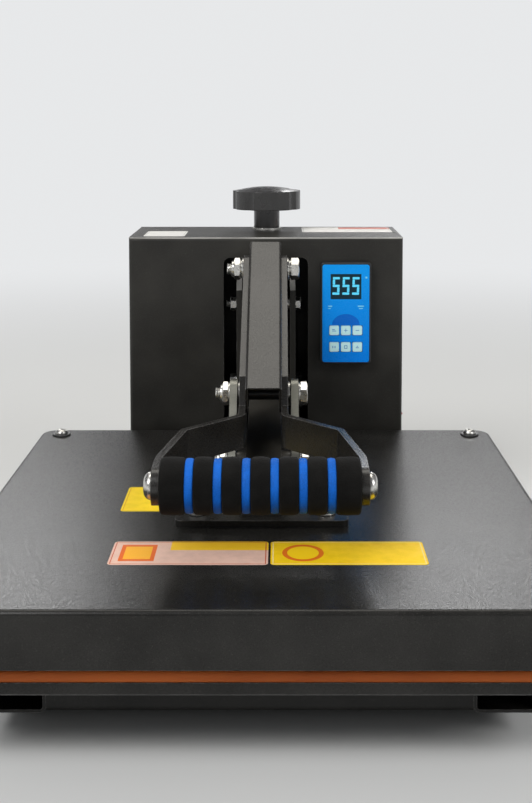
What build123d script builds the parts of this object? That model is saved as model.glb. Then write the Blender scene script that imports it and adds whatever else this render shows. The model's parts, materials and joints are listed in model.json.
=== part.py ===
from build123d import *
import os
from math import cos, hypot, radians, sin

# A clamshell heat press with its control box, closed, in millimetres.
# X runs to the operator's right, Y to the rear and Z up from the bench.
# The origin is on the bench, at the middle of the press's outline.

os.makedirs("parts", exist_ok=True)

# Press plates and cover
press_side = 400
cover_height = 35
cover_wall = 1.5
cover_corner = 14
platen_margin = 10
platen_corner = 8
heating_platen_thickness = 20
platen_reveal = 5.2
pad_thickness = 6.5
lower_platen_thickness = 8
screw_inset = 19
blanket_margin = 2
blanket_hole_gap = 4.5

# Base
foot_diameter = 27
foot_height = 15
foot_taper = 1.5
foot_half_spacing = 153
foot_front_inset = 97
foot_rear_inset = 43
rail_width = 40
rail_height = 32
rail_wall = 2
rail_corner = 4
rail_front_inset = 53
rail_rear_inset = 8

# Control box
box_width = 250
box_depth = 106
box_rise = 172
box_gap = 20
sheet = 1.5
slot_width = 77
slot_drop = 18.5

# Pressure knob and its rod
knob_diameter = 66
knob_overhang = 10
knob_rim = 17.5
knob_dome = 4
knob_lobes = 9
hub_diameter = 25
rod_diameter = 12
hub_height = 18

# Toggle linkage, seen from the side: places behind the box front and above the cover
handle_pivot_back = -28
handle_pivot_rise = 147
knee_back = -123
knee_rise = 57
link_foot_back = -172
link_foot_rise = 16
hinge_back = 33
hinge_rise = 23
lever_pivot_back = 16
lever_pivot_rise = 109
grip_back = -323
grip_rise = 43
pivot_diameter = 10
lever_pivot_diameter = 12
hinge_diameter = 20

# Handle
channel_width = 28
channel_depth = 26
channel_wall = 2
channel_length = 184.5
channel_slope = 31.1
handle_plate = 5
bar_depth = 25
grip_length = 130
grip_diameter = 37.5
grip_ring_diameter = 36.4
grip_ring_width = 5.6
grip_ring_pitch = 18.4
ring_count = 6
grip_core_diameter = 25
fork_half_width = 68

# Uprights, links and beam
upright_clearance = 3
upright_thickness = 5
upright_setback = 4
link_clearance = 2.6
link_thickness = 6
beam_wall = 4
mount_side = 120
mount_corner = 5
mount_thickness = 5
mount_bolt_spacing = 90

# Fasteners, with hexagons measured across their flats
stud_diameter = 6
stud_nut_flats = 10
stud_nut_height = 5
stud_washer_diameter = 13
stud_washer_thickness = 1.6
spacer_diameter = 14
cover_screw_diameter = 5
cover_screw_head = 11
cover_screw_head_height = 3.6
cover_washer_diameter = 16
cover_washer_thickness = 1.5
axle_flats = 30
axle_head = 7
flange_bolt_diameter = 8
flange_bolt_flats = 13
flange_bolt_head = 5.5
lever_thread_diameter = 6
lever_nut_flats = 11
lever_nut_height = 6
pivot_flats = 17
pivot_nut_height = 8
pivot_washer_diameter = 20
pivot_washer_thickness = 3
thread_end = 4
grip_bolt_diameter = 8
grip_bolt_head_diameter = 18
grip_bolt_head = 5.5

# Clearances
body_gap = 0.3
running_gap = 0.05

# Widths, depths and heights that follow
platen_side = press_side - 2 * platen_margin
overall_depth = press_side + box_gap + box_depth + knob_overhang
front_y = -overall_depth / 2
cover_y = front_y + press_side / 2
box_front = front_y + press_side + box_gap
box_rear = box_front + box_depth
box_y = (box_front + box_rear) / 2
knob_y = box_rear + knob_overhang - knob_diameter / 2
rail_top = foot_height + rail_height
pad_bottom = rail_top + lower_platen_thickness
pad_top = pad_bottom + pad_thickness
platen_bottom = pad_top + body_gap
platen_top = platen_bottom + heating_platen_thickness
cover_bottom = platen_bottom + platen_reveal
cover_top = cover_bottom + cover_height
box_top = cover_top + box_rise
mount_top = cover_top + mount_thickness

# Pivots as (Y, Z)
handle_pivot = (box_front + handle_pivot_back, cover_top + handle_pivot_rise)
knee = (box_front + knee_back, cover_top + knee_rise)
link_foot = (box_front + link_foot_back, cover_top + link_foot_rise)
hinge = (box_front + hinge_back, cover_top + hinge_rise)
lever_pivot = (box_front + lever_pivot_back, cover_top + lever_pivot_rise)
grip = (box_front + grip_back, cover_top + grip_rise)
trunnion = (knob_y, lever_pivot[1])

# Sideways layers of the linkage, from the middle out
plate_inner = channel_width / 2
plate_outer = plate_inner + handle_plate
link_inner = plate_outer + link_clearance
link_outer = link_inner + link_thickness
upright_inner = plate_outer + upright_clearance
upright_outer = upright_inner + upright_thickness
beam_width = channel_width - 2 * body_gap


def save(piece, name):
    piece.part.label = name
    export_step(piece.part, f"parts/{name}.step")


def on_slope(along, above):
    """A (Y, Z) point measured down the handle channel and square to it, from the handle pivot."""
    slope = radians(channel_slope)
    y = handle_pivot[0] - along * cos(slope) - above * sin(slope)
    z = handle_pivot[1] - along * sin(slope) + above * cos(slope)
    return (y, z)


def bar_corners(start, end, start_radius, end_radius):
    """The four (Y, Z) corners of a bar that tapers between two round ends."""
    reach = hypot(end[0] - start[0], end[1] - start[1])
    across = ((start[1] - end[1]) / reach, (end[0] - start[0]) / reach)
    return [
        (point[0] + half * across[0], point[1] + half * across[1])
        for point, half in (
            (start, start_radius),
            (end, end_radius),
            (end, -end_radius),
            (start, -start_radius),
        )
    ]


# Rubber feet
foot_front = front_y + foot_front_inset
foot_rear = box_rear - foot_rear_inset
with BuildPart() as rubber_feet:
    foot_places = [
        (side * foot_half_spacing, y) for side in (-1, 1) for y in (foot_front, foot_rear)
    ]
    with Locations(*[(x, y, 0) for x, y in foot_places]):
        Cone(
            foot_diameter / 2,
            foot_diameter / 2 - foot_taper,
            foot_height,
            align=(Align.CENTER, Align.CENTER, Align.MIN),
        )
    fillet(rubber_feet.edges().group_by(Axis.Z)[0], 1.2)
save(rubber_feet, "rubber_feet")

# Base rails, front to rear, of rectangular tube
rail_front = front_y + rail_front_inset
rail_rear = box_rear - rail_rear_inset
for side, name in ((-1, "base_rail_left"), (1, "base_rail_right")):
    with BuildPart() as rail:
        with BuildSketch(Plane.XZ.offset(-rail_rear)):
            with Locations((side * foot_half_spacing, foot_height + rail_height / 2)):
                RectangleRounded(rail_width, rail_height, rail_corner)
                RectangleRounded(
                    rail_width - 2 * rail_wall,
                    rail_height - 2 * rail_wall,
                    rail_corner - rail_wall,
                    mode=Mode.SUBTRACT,
                )
        extrude(amount=rail_rear - rail_front)
    save(rail, name)

# Crossbars of the same tube, welded between the rails
crossbar_length = 2 * foot_half_spacing - rail_width
crossbars = {
    "front_crossbar": rail_front + rail_width / 2,
    "middle_crossbar": box_front + rail_width / 2,
    "rear_crossbar": rail_rear - rail_width / 2,
}
for name, crossbar_y in crossbars.items():
    with BuildPart() as crossbar:
        with BuildSketch(Plane.YZ.offset(-crossbar_length / 2)):
            with Locations((crossbar_y, foot_height + rail_height / 2)):
                RectangleRounded(rail_width, rail_height, rail_corner)
                RectangleRounded(
                    rail_width - 2 * rail_wall,
                    rail_height - 2 * rail_wall,
                    rail_corner - rail_wall,
                    mode=Mode.SUBTRACT,
                )
        extrude(amount=crossbar_length)
    save(crossbar, name)

# Lower platen and the silicone pad on it
with BuildPart() as lower_platen:
    with BuildSketch(Plane.XY.offset(rail_top)):
        with Locations((0, cover_y)):
            RectangleRounded(platen_side, platen_side, platen_corner)
    extrude(amount=lower_platen_thickness)
    chamfer(lower_platen.edges().group_by(Axis.Z)[0], 1)
save(lower_platen, "lower_platen")

with BuildPart() as silicone_pad:
    with BuildSketch(Plane.XY.offset(pad_bottom)):
        with Locations((0, cover_y)):
            RectangleRounded(platen_side, platen_side, platen_corner)
    extrude(amount=pad_thickness)
    fillet(silicone_pad.edges().group_by(Axis.Z)[-1], 1)
save(silicone_pad, "silicone_pad")

# Heating platen
with BuildPart() as heating_platen:
    with BuildSketch(Plane.XY.offset(platen_bottom)):
        with Locations((0, cover_y)):
            RectangleRounded(platen_side, platen_side, platen_corner)
    extrude(amount=heating_platen_thickness)
    fillet(heating_platen.edges().group_by(Axis.Z)[0], 1.5)
save(heating_platen, "heating_platen")

# Studs that carry the platen from the mounting plate, each with a spacer shoulder
cover_inside = cover_top - cover_wall
stud_top = mount_top + stud_washer_thickness + stud_nut_height + thread_end
with BuildPart() as platen_studs:
    with BuildSketch(Plane.XY.offset(platen_top)):
        with Locations((0, cover_y)):
            with GridLocations(mount_bolt_spacing, mount_bolt_spacing, 2, 2):
                Circle(spacer_diameter / 2)
    extrude(amount=cover_inside - platen_top)
    with BuildSketch(Plane.XY.offset(cover_inside)):
        with Locations((0, cover_y)):
            with GridLocations(mount_bolt_spacing, mount_bolt_spacing, 2, 2):
                Circle(stud_diameter / 2)
    extrude(amount=stud_top - cover_inside)
    chamfer(platen_studs.edges().group_by(Axis.Z)[-1], 0.8)
save(platen_studs, "platen_studs")

with BuildPart() as stud_washers:
    with BuildSketch(Plane.XY.offset(mount_top)):
        with Locations((0, cover_y)):
            with GridLocations(mount_bolt_spacing, mount_bolt_spacing, 2, 2):
                Circle(stud_washer_diameter / 2)
                Circle(stud_diameter / 2, mode=Mode.SUBTRACT)
    extrude(amount=stud_washer_thickness)
save(stud_washers, "stud_washers")

with BuildPart() as stud_nuts:
    with BuildSketch(Plane.XY.offset(mount_top + stud_washer_thickness)):
        with Locations((0, cover_y)):
            with GridLocations(mount_bolt_spacing, mount_bolt_spacing, 2, 2):
                RegularPolygon(stud_nut_flats / 2, 6, major_radius=False)
                Circle(stud_diameter / 2, mode=Mode.SUBTRACT)
    extrude(amount=stud_nut_height)
save(stud_nuts, "stud_nuts")

# Pressed cover over the heating platen, open below
screw_spacing = press_side - 2 * screw_inset
with BuildPart() as top_cover:
    with BuildSketch(Plane.XY.offset(cover_bottom)):
        with Locations((0, cover_y)):
            RectangleRounded(press_side, press_side, cover_corner)
    extrude(amount=cover_height)
    fillet(top_cover.edges().group_by(Axis.Z)[-1], 3.5)
    offset(amount=-cover_wall, openings=top_cover.faces().sort_by(Axis.Z)[0])
    with BuildSketch(Plane.XY.offset(cover_top)):
        with Locations((0, cover_y)):
            with GridLocations(mount_bolt_spacing, mount_bolt_spacing, 2, 2):
                Circle(stud_diameter / 2 + body_gap)
            with GridLocations(screw_spacing, screw_spacing, 2, 2):
                Circle(cover_screw_diameter / 2 + body_gap)
    extrude(amount=-2 * cover_wall, mode=Mode.SUBTRACT)
save(top_cover, "top_cover")

# Heat-resistant blanket between platen and cover
blanket_side = platen_side - 2 * blanket_margin
with BuildPart() as insulation_blanket:
    with BuildSketch(Plane.XY.offset(platen_top)):
        with Locations((0, cover_y)):
            RectangleRounded(blanket_side, blanket_side, platen_corner)
            with GridLocations(mount_bolt_spacing, mount_bolt_spacing, 2, 2):
                Circle(spacer_diameter / 2 + body_gap, mode=Mode.SUBTRACT)
            with GridLocations(screw_spacing, screw_spacing, 2, 2):
                Circle(cover_screw_diameter / 2 + blanket_hole_gap, mode=Mode.SUBTRACT)
    extrude(amount=cover_inside - platen_top - body_gap)
save(insulation_blanket, "insulation_blanket")

# Domed screws at the cover's corners, on dark washers
with BuildPart() as cover_screws:
    with BuildSketch(Plane.XY.offset(platen_top)):
        with Locations((0, cover_y)):
            with GridLocations(screw_spacing, screw_spacing, 2, 2):
                Circle(cover_screw_diameter / 2)
    extrude(amount=cover_top + cover_washer_thickness - platen_top)
    with BuildSketch(Plane.XY.offset(cover_top + cover_washer_thickness)):
        with Locations((0, cover_y)):
            with GridLocations(screw_spacing, screw_spacing, 2, 2):
                Circle(cover_screw_head / 2)
    extrude(amount=cover_screw_head_height)
    fillet(cover_screws.edges().group_by(Axis.Z)[-1], cover_screw_head_height - 0.6)
save(cover_screws, "cover_screws")

with BuildPart() as cover_washers:
    with BuildSketch(Plane.XY.offset(cover_top)):
        with Locations((0, cover_y)):
            with GridLocations(screw_spacing, screw_spacing, 2, 2):
                Circle(cover_washer_diameter / 2)
                Circle(cover_screw_diameter / 2, mode=Mode.SUBTRACT)
    extrude(amount=cover_washer_thickness)
    outer_rims = cover_washers.edges().group_by(Axis.Z)[-1].filter_by(
        lambda e: e.radius > cover_screw_diameter
    )
    chamfer(outer_rims, 0.6)
save(cover_washers, "cover_washers")

# Mounting plate on the cover
with BuildPart() as mounting_plate:
    with BuildSketch(Plane.XY.offset(cover_top)):
        with Locations((0, cover_y)):
            RectangleRounded(mount_side, mount_side, mount_corner)
            with GridLocations(mount_bolt_spacing, mount_bolt_spacing, 2, 2):
                Circle(stud_diameter / 2 + body_gap, mode=Mode.SUBTRACT)
    extrude(amount=mount_thickness)
save(mounting_plate, "mounting_plate")

# Press beam, from the rear hinge to the mounting plate: a tapered channel with a hub
hub_radius = 18
hub_step = 2
beam_front = cover_y - mount_side / 2 + 10
beam_nose = 6
beam_web = 12
beam_web_nose = 3.5
beam_crest = 3
beam_mouth = hinge[0] - hub_radius - beam_crest
beam_shoulder = (hinge[0] - 35, hinge[1] + hub_radius + beam_crest)
hub_half_width = upright_inner - body_gap
link_boss_radius = 7
with BuildPart() as press_beam:
    with BuildSketch(Plane.YZ.offset(-beam_width / 2)):
        with BuildLine():
            Polyline(
                (beam_front, mount_top),
                (beam_front, mount_top + beam_nose),
                beam_shoulder,
                (hinge[0], hinge[1] + hub_radius),
                (hinge[0], hinge[1] - hub_radius),
                (beam_front, mount_top),
            )
        make_face()
        with Locations(hinge):
            Circle(hub_radius)
    extrude(amount=beam_width)
    with BuildSketch(Plane.YZ.offset(beam_wall - beam_width / 2)):
        with BuildLine():
            Polyline(
                (beam_front + beam_web, mount_top),
                (beam_front + beam_web, mount_top + beam_web_nose),
                (beam_shoulder[0] - 2, beam_shoulder[1] - beam_wall),
                (beam_mouth, hinge[1] + hub_radius - beam_wall),
                (beam_mouth, hinge[1] - hub_radius),
                (beam_front + beam_web, mount_top),
            )
        make_face()
    extrude(amount=beam_width - 2 * beam_wall, mode=Mode.SUBTRACT)
    with BuildSketch(Plane.YZ.offset(-hub_half_width)):
        with Locations(hinge):
            Circle(hub_radius - hub_step)
    extrude(amount=2 * hub_half_width)
    with BuildSketch(Plane.YZ.offset(body_gap - link_inner)):
        with Locations(link_foot):
            Circle(link_boss_radius)
    extrude(amount=2 * (link_inner - body_gap))
    with BuildSketch(Plane.YZ.offset(-upright_outer)):
        with Locations(hinge):
            Circle(hinge_diameter / 2 + running_gap)
        with Locations(link_foot):
            Circle(pivot_diameter / 2)
    extrude(amount=2 * upright_outer, mode=Mode.SUBTRACT)
save(press_beam, "press_beam")

# Main hinge axle, held in the uprights, with its head on the left
with BuildPart() as hinge_axle:
    with BuildSketch(Plane.YZ.offset(-upright_outer)):
        with Locations(hinge):
            Circle(hinge_diameter / 2)
    extrude(amount=2 * upright_outer + axle_head + thread_end)
    with BuildSketch(Plane.YZ.offset(-upright_outer - axle_head)):
        with Locations(hinge):
            RegularPolygon(axle_flats / 2, 6, major_radius=False)
    extrude(amount=axle_head)
save(hinge_axle, "hinge_axle")

# Uprights: bent plates that carry the hinge and the lever, with a bolted foot
upright_front = box_front + upright_setback
upright_rear = rail_rear
upright_top = box_top - 10
upright_shoulder = lever_pivot[1] + 14
rod_side = 40
flange_width = 30
flange_bolt_x = upright_outer + 18
flange_bend = 4
cutout_margin = 24
cutout_width = 34
cutout_corner = 8
cutout_y = knob_y - 6
cutout_height = lever_pivot[1] - hinge[1] - 2 * cutout_margin
flange_middle = (upright_front + upright_rear) / 2
flange_reach = flange_width + upright_thickness
flange_x = upright_inner + flange_reach / 2
flange_bolts = [crossbars["middle_crossbar"], crossbars["rear_crossbar"]]
for side, name in ((-1, "upright_left"), (1, "upright_right")):
    with BuildPart() as upright:
        with BuildSketch(Plane.YZ.offset(side * upright_inner)):
            with BuildLine():
                Polyline(
                    (upright_front, rail_top),
                    (upright_front, upright_shoulder),
                    (knob_y - rod_side, upright_top),
                    (upright_rear, upright_top),
                    (upright_rear, rail_top),
                    close=True,
                )
            make_face()
            with Locations((cutout_y, (lever_pivot[1] + hinge[1]) / 2)):
                RectangleRounded(
                    cutout_width,
                    cutout_height,
                    cutout_corner,
                    mode=Mode.SUBTRACT,
                )
            with Locations(hinge):
                Circle(hinge_diameter / 2, mode=Mode.SUBTRACT)
            with Locations(lever_pivot):
                Circle(lever_pivot_diameter / 2, mode=Mode.SUBTRACT)
        extrude(amount=side * upright_thickness)
        with BuildSketch(Plane.XY.offset(rail_top)):
            with Locations((side * flange_x, flange_middle)):
                Rectangle(flange_reach, upright_rear - upright_front)
            with Locations(*[(side * flange_bolt_x, y) for y in flange_bolts]):
                Circle(flange_bolt_diameter / 2, mode=Mode.SUBTRACT)
        extrude(amount=upright_thickness)
        inside_bend = upright.edges().filter_by(Axis.Y).filter_by(
            lambda e: abs(e.center().Z - rail_top - upright_thickness) < 0.01
            and abs(abs(e.center().X) - upright_outer) < 0.01
        )
        fillet(inside_bend, flange_bend)
    save(upright, name)

with BuildPart() as upright_bolts:
    with BuildSketch(Plane.XY.offset(rail_top)):
        with Locations(*[(side * flange_bolt_x, y) for side in (-1, 1) for y in flange_bolts]):
            Circle(flange_bolt_diameter / 2)
    extrude(amount=upright_thickness)
    with BuildSketch(Plane.XY.offset(rail_top + upright_thickness)):
        with Locations(*[(side * flange_bolt_x, y) for side in (-1, 1) for y in flange_bolts]):
            RegularPolygon(flange_bolt_flats / 2, 6, major_radius=False)
    extrude(amount=flange_bolt_head)
save(upright_bolts, "upright_bolts")

# Bridge across the tops of the uprights, which the pressure rod hangs from
bridge_thickness = 8
with BuildPart() as rod_bridge:
    with BuildSketch(Plane.XY.offset(upright_top)):
        with Locations((0, (knob_y - rod_side + upright_rear) / 2)):
            Rectangle(2 * upright_outer, upright_rear - knob_y + rod_side)
        with Locations((0, knob_y)):
            Circle(rod_diameter / 2 + running_gap, mode=Mode.SUBTRACT)
    extrude(amount=bridge_thickness)
save(rod_bridge, "rod_bridge")

# Lever that raises and lowers the handle's pivot: a tongue in front, two cheeks behind
tongue_half = channel_width / 2 - channel_wall - body_gap
cheek_inner = 13
cheek_outer = upright_inner - 3
cheek_lip = 2
lever_boss = 13
lever_nose = 11
cheek_height = 20
web_height = 10
web_gap = 8
block_side = 22
block_corner = 4
with BuildPart() as adjuster_lever:
    with BuildSketch(Plane.YZ.offset(-tongue_half)):
        with BuildLine():
            Polyline(*bar_corners(handle_pivot, lever_pivot, lever_nose, lever_boss), close=True)
        make_face()
        with Locations(handle_pivot):
            Circle(lever_nose)
        with Locations(lever_pivot):
            Circle(lever_boss)
    extrude(amount=2 * tongue_half)
    for side in (-1, 1):
        with BuildSketch(Plane.YZ.offset(side * cheek_inner)):
            with Locations(lever_pivot):
                Circle(lever_boss)
            with Locations(trunnion):
                Circle(cheek_height / 2 + cheek_lip)
            with Locations(((lever_pivot[0] + trunnion[0]) / 2, trunnion[1])):
                Rectangle(trunnion[0] - lever_pivot[0], cheek_height)
        extrude(amount=side * (cheek_outer - cheek_inner))
    with BuildSketch(Plane.YZ.offset(-cheek_outer)):
        with Locations(lever_pivot):
            Circle(lever_boss)
    extrude(amount=2 * cheek_outer)
    web_length = trunnion[0] - block_side / 2 - web_gap - lever_pivot[0]
    with BuildSketch(Plane.YZ.offset(-cheek_inner)):
        with Locations((lever_pivot[0] + web_length / 2, trunnion[1])):
            Rectangle(web_length, web_height)
    extrude(amount=2 * cheek_inner)
    with BuildSketch(Plane.YZ.offset(-cheek_outer)):
        with Locations(handle_pivot):
            Circle(pivot_diameter / 2 + running_gap)
        with Locations(lever_pivot):
            Circle(lever_pivot_diameter / 2 + running_gap)
        with Locations(trunnion):
            Circle(pivot_diameter / 2 + body_gap)
    extrude(amount=2 * cheek_outer, mode=Mode.SUBTRACT)
save(adjuster_lever, "adjuster_lever")

# Pin that the lever turns on, threaded at both ends
lever_pin_half = upright_outer + lever_nut_height + thread_end
with BuildPart() as lever_pin:
    with BuildSketch(Plane.YZ.offset(-upright_outer)):
        with Locations(lever_pivot):
            Circle(lever_pivot_diameter / 2)
    extrude(amount=2 * upright_outer)
    with BuildSketch(Plane.YZ.offset(-lever_pin_half)):
        with Locations(lever_pivot):
            Circle(lever_thread_diameter / 2)
    extrude(amount=2 * lever_pin_half)
save(lever_pin, "lever_pin")

# Nuts outside the uprights: one on the hinge axle and one at each end of the lever's pin
with BuildPart() as upright_nuts:
    with BuildSketch(Plane.YZ.offset(upright_outer)):
        with Locations(hinge):
            RegularPolygon(axle_flats / 2, 6, major_radius=False)
            Circle(hinge_diameter / 2, mode=Mode.SUBTRACT)
    extrude(amount=axle_head)
    for side in (-1, 1):
        with BuildSketch(Plane.YZ.offset(side * upright_outer)):
            with Locations(lever_pivot):
                RegularPolygon(lever_nut_flats / 2, 6, major_radius=False)
                Circle(lever_thread_diameter / 2, mode=Mode.SUBTRACT)
        extrude(amount=side * lever_nut_height)
save(upright_nuts, "upright_nuts")

# Trunnion nut that the rod draws up and down
with BuildPart() as trunnion_nut:
    with BuildSketch(Plane.YZ.offset(body_gap - cheek_inner)):
        with Locations(trunnion):
            RectangleRounded(block_side, block_side, block_corner)
    extrude(amount=2 * (cheek_inner - body_gap))
    with BuildSketch(Plane.YZ.offset(-cheek_outer)):
        with Locations(trunnion):
            Circle(pivot_diameter / 2)
    extrude(amount=2 * cheek_outer)
    with BuildSketch(Plane.XY.offset(trunnion[1] - block_side)):
        with Locations((0, knob_y)):
            Circle(rod_diameter / 2 + running_gap)
    extrude(amount=2 * block_side, mode=Mode.SUBTRACT)
save(trunnion_nut, "trunnion_nut")

# Pressure rod, knob and the washer that the knob bears on
knob_washer_thickness = 2
knob_washer_lip = 1.5
hub_bottom = box_top + knob_washer_thickness + body_gap
rim_bottom = hub_bottom + hub_height
rod_bottom = trunnion[1] - block_side
rod_in_knob = 12
lobe_radius = 11.6
lobe_offset = 10
dome_inset = 3
dome_radius = knob_diameter / 2 - dome_inset
rim_top = rim_bottom + knob_rim
with BuildPart() as pressure_rod:
    with BuildSketch(Plane.XY.offset(rod_bottom)):
        with Locations((0, knob_y)):
            Circle(rod_diameter / 2)
    extrude(amount=hub_bottom + rod_in_knob - rod_bottom)
    chamfer(pressure_rod.edges().group_by(Axis.Z)[0], 1.5)
save(pressure_rod, "pressure_rod")

with BuildPart() as pressure_knob:
    with BuildSketch(Plane.XY.offset(hub_bottom)):
        with Locations((0, knob_y)):
            Circle(hub_diameter / 2)
    extrude(amount=hub_height)
    with BuildSketch(Plane.XY.offset(rim_bottom)):
        with Locations((0, knob_y)):
            Circle(knob_diameter / 2)
            with PolarLocations(knob_diameter / 2 + lobe_offset, knob_lobes):
                Circle(lobe_radius, mode=Mode.SUBTRACT)
    extrude(amount=knob_rim)
    with BuildSketch(Plane.YZ):
        with BuildLine():
            Line((knob_y, rim_top), (knob_y, rim_top + knob_dome))
            ThreePointArc(
                (knob_y, rim_top + knob_dome),
                (knob_y + dome_radius / 2, rim_top + knob_dome * 0.75),
                (knob_y + dome_radius, rim_top),
            )
            Line((knob_y + dome_radius, rim_top), (knob_y, rim_top))
        make_face()
    revolve(axis=Axis((0, knob_y, 0), (0, 0, 1)))
    with BuildSketch(Plane.XY.offset(hub_bottom)):
        with Locations((0, knob_y)):
            Circle(rod_diameter / 2)
    extrude(amount=rod_in_knob, mode=Mode.SUBTRACT)
save(pressure_knob, "pressure_knob")

with BuildPart() as knob_washer:
    with BuildSketch(Plane.XY.offset(box_top)):
        with Locations((0, knob_y)):
            Circle(hub_diameter / 2 + knob_washer_lip)
            Circle(rod_diameter / 2 + body_gap, mode=Mode.SUBTRACT)
    extrude(amount=knob_washer_thickness)
save(knob_washer, "knob_washer")

# Handle channel, open below, whose slope runs down towards the grip
channel_above = 20.7
channel_before = 12.5
channel_bend = 2.5
overcut = 1
with BuildPart() as handle_channel:
    with BuildSketch(Plane.YZ.offset(-channel_width / 2)):
        with BuildLine():
            Polyline(
                on_slope(-channel_before, channel_above),
                on_slope(channel_length - channel_before, channel_above),
                on_slope(channel_length - channel_before, channel_above - channel_depth),
                on_slope(-channel_before, channel_above - channel_depth),
                close=True,
            )
        make_face()
    extrude(amount=channel_width)
    slope_edges = handle_channel.edges().filter_by(
        lambda e: abs(e.length - channel_length) < 0.01
    )
    fillet(slope_edges.sort_by(Axis.Z)[-2:], channel_bend)
    with BuildSketch(Plane.YZ.offset(channel_wall - channel_width / 2)):
        with BuildLine():
            Polyline(
                on_slope(-channel_before - overcut, channel_above - channel_wall),
                on_slope(channel_length, channel_above - channel_wall),
                on_slope(channel_length, channel_above - channel_depth - overcut),
                on_slope(-channel_before - overcut, channel_above - channel_depth - overcut),
                close=True,
            )
        make_face()
    extrude(amount=channel_width - 2 * channel_wall, mode=Mode.SUBTRACT)
    with BuildSketch(Plane.YZ.offset(-channel_width / 2)):
        with Locations(handle_pivot):
            Circle(pivot_diameter / 2)
    extrude(amount=channel_width, mode=Mode.SUBTRACT)
save(handle_channel, "handle_channel")

# Handle plates: each a flat bar that runs beside the channel and bends out into the fork
strap_half = 12
knee_boss = 13
plate_middle = plate_inner + handle_plate / 2
fork_front = grip[0] - bar_depth
fork_bend = 9
fork_straight = 22
strap_end = 150
strap_return = 62
root_y = box_front - 197
root_slope = 29
shoulder_y = root_y - 39
shoulder_in = 11.5
bar_rear_z = cover_top + 45.5
for side, name in ((-1, "handle_plate_left"), (1, "handle_plate_right")):
    with BuildPart() as handle_bar:
        with BuildSketch(Plane.XY.offset(cover_top)):
            with BuildLine():
                FilletPolyline(
                    (side * plate_middle, handle_pivot[0] + 2 * strap_half),
                    (side * plate_middle, root_y),
                    (side * (fork_half_width - shoulder_in), shoulder_y),
                    (side * fork_half_width, grip[0] + fork_straight),
                    (side * fork_half_width, fork_front),
                    radius=fork_bend,
                )
            trace(line_width=handle_plate)
        extrude(amount=box_rise)
        with BuildSketch(Plane.YZ.offset(-press_side / 2)):
            with BuildLine():
                Polyline(
                    on_slope(0, strap_half),
                    on_slope(strap_end, strap_half),
                    (root_y + root_slope, bar_rear_z + bar_depth / 2),
                    (root_y, bar_rear_z + bar_depth / 2),
                    (grip[0], grip[1] + bar_depth / 2),
                    (grip[0], grip[1] - bar_depth / 2),
                    (root_y, bar_rear_z - bar_depth / 2),
                    (knee[0] - strap_half, bar_rear_z - bar_depth / 2),
                    (knee[0], knee[1] - knee_boss),
                    (knee[0] + knee_boss, knee[1]),
                    on_slope(strap_return, -strap_half),
                    on_slope(0, -strap_half),
                    close=True,
                )
            make_face()
            with Locations(handle_pivot):
                Circle(strap_half)
            with Locations(knee):
                Circle(knee_boss)
            with Locations(grip):
                Circle(bar_depth / 2)
            with Locations(handle_pivot, knee):
                Circle(pivot_diameter / 2, mode=Mode.SUBTRACT)
            with Locations(grip):
                Circle(grip_bolt_diameter / 2, mode=Mode.SUBTRACT)
        extrude(amount=press_side, mode=Mode.INTERSECT)
    save(handle_bar, name)

# Grip: a steel core, a foam sleeve with recessed rings, and a domed bolt at each end
fork_inner = fork_half_width - handle_plate / 2
fork_outer = fork_half_width + handle_plate / 2
with BuildPart() as grip_core:
    with BuildSketch(Plane.YZ.offset(-grip_length / 2)):
        with Locations(grip):
            Circle(grip_core_diameter / 2)
    extrude(amount=grip_length)
    for side in (-1, 1):
        with BuildSketch(Plane.YZ.offset(side * grip_length / 2)):
            with Locations(grip):
                Circle(grip_bolt_head_diameter / 2)
        extrude(amount=side * (fork_inner - grip_length / 2))
    with BuildSketch(Plane.YZ.offset(-fork_inner)):
        with Locations(grip):
            Circle(grip_bolt_diameter / 2)
    extrude(amount=2 * fork_inner, mode=Mode.SUBTRACT)
save(grip_core, "grip_core")

ring_floor = grip_diameter / 2 - 3
ring_places = [(i - (ring_count - 1) / 2) * grip_ring_pitch for i in range(ring_count)]
with BuildPart() as foam_grip:
    with BuildSketch(Plane.YZ.offset(-grip_length / 2)):
        with Locations(grip):
            Circle(grip_diameter / 2)
    extrude(amount=grip_length)
    fillet(foam_grip.edges(), 3)
    for x in ring_places:
        with BuildSketch(Plane.YZ.offset(x - grip_ring_width / 2)):
            with Locations(grip):
                Circle(grip_diameter / 2 + 1)
                Circle(ring_floor, mode=Mode.SUBTRACT)
        extrude(amount=grip_ring_width, mode=Mode.SUBTRACT)
    with BuildSketch(Plane.YZ.offset(-grip_length / 2)):
        with Locations(grip):
            Circle(grip_core_diameter / 2)
    extrude(amount=grip_length, mode=Mode.SUBTRACT)
save(foam_grip, "foam_grip")

with BuildPart() as grip_rings:
    for x in ring_places:
        with BuildSketch(Plane.YZ.offset(x - grip_ring_width / 2)):
            with Locations(grip):
                Circle(grip_ring_diameter / 2)
                Circle(ring_floor, mode=Mode.SUBTRACT)
        extrude(amount=grip_ring_width)
save(grip_rings, "grip_rings")

grip_bolt_length = 18
with BuildPart() as grip_bolts:
    for side in (-1, 1):
        with BuildSketch(Plane.YZ.offset(side * fork_outer)):
            with Locations(grip):
                Circle(grip_bolt_head_diameter / 2)
        extrude(amount=side * grip_bolt_head)
    outer_rims = grip_bolts.edges().filter_by(
        lambda e: abs(abs(e.center().X) - fork_outer - grip_bolt_head) < 0.01
    )
    fillet(outer_rims, grip_bolt_head - 0.9)
    for side in (-1, 1):
        with BuildSketch(Plane.YZ.offset(side * (fork_outer + 1))):
            with Locations(grip):
                Circle(grip_bolt_diameter / 2)
        extrude(amount=-side * grip_bolt_length)
save(grip_bolts, "grip_bolts")

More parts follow.
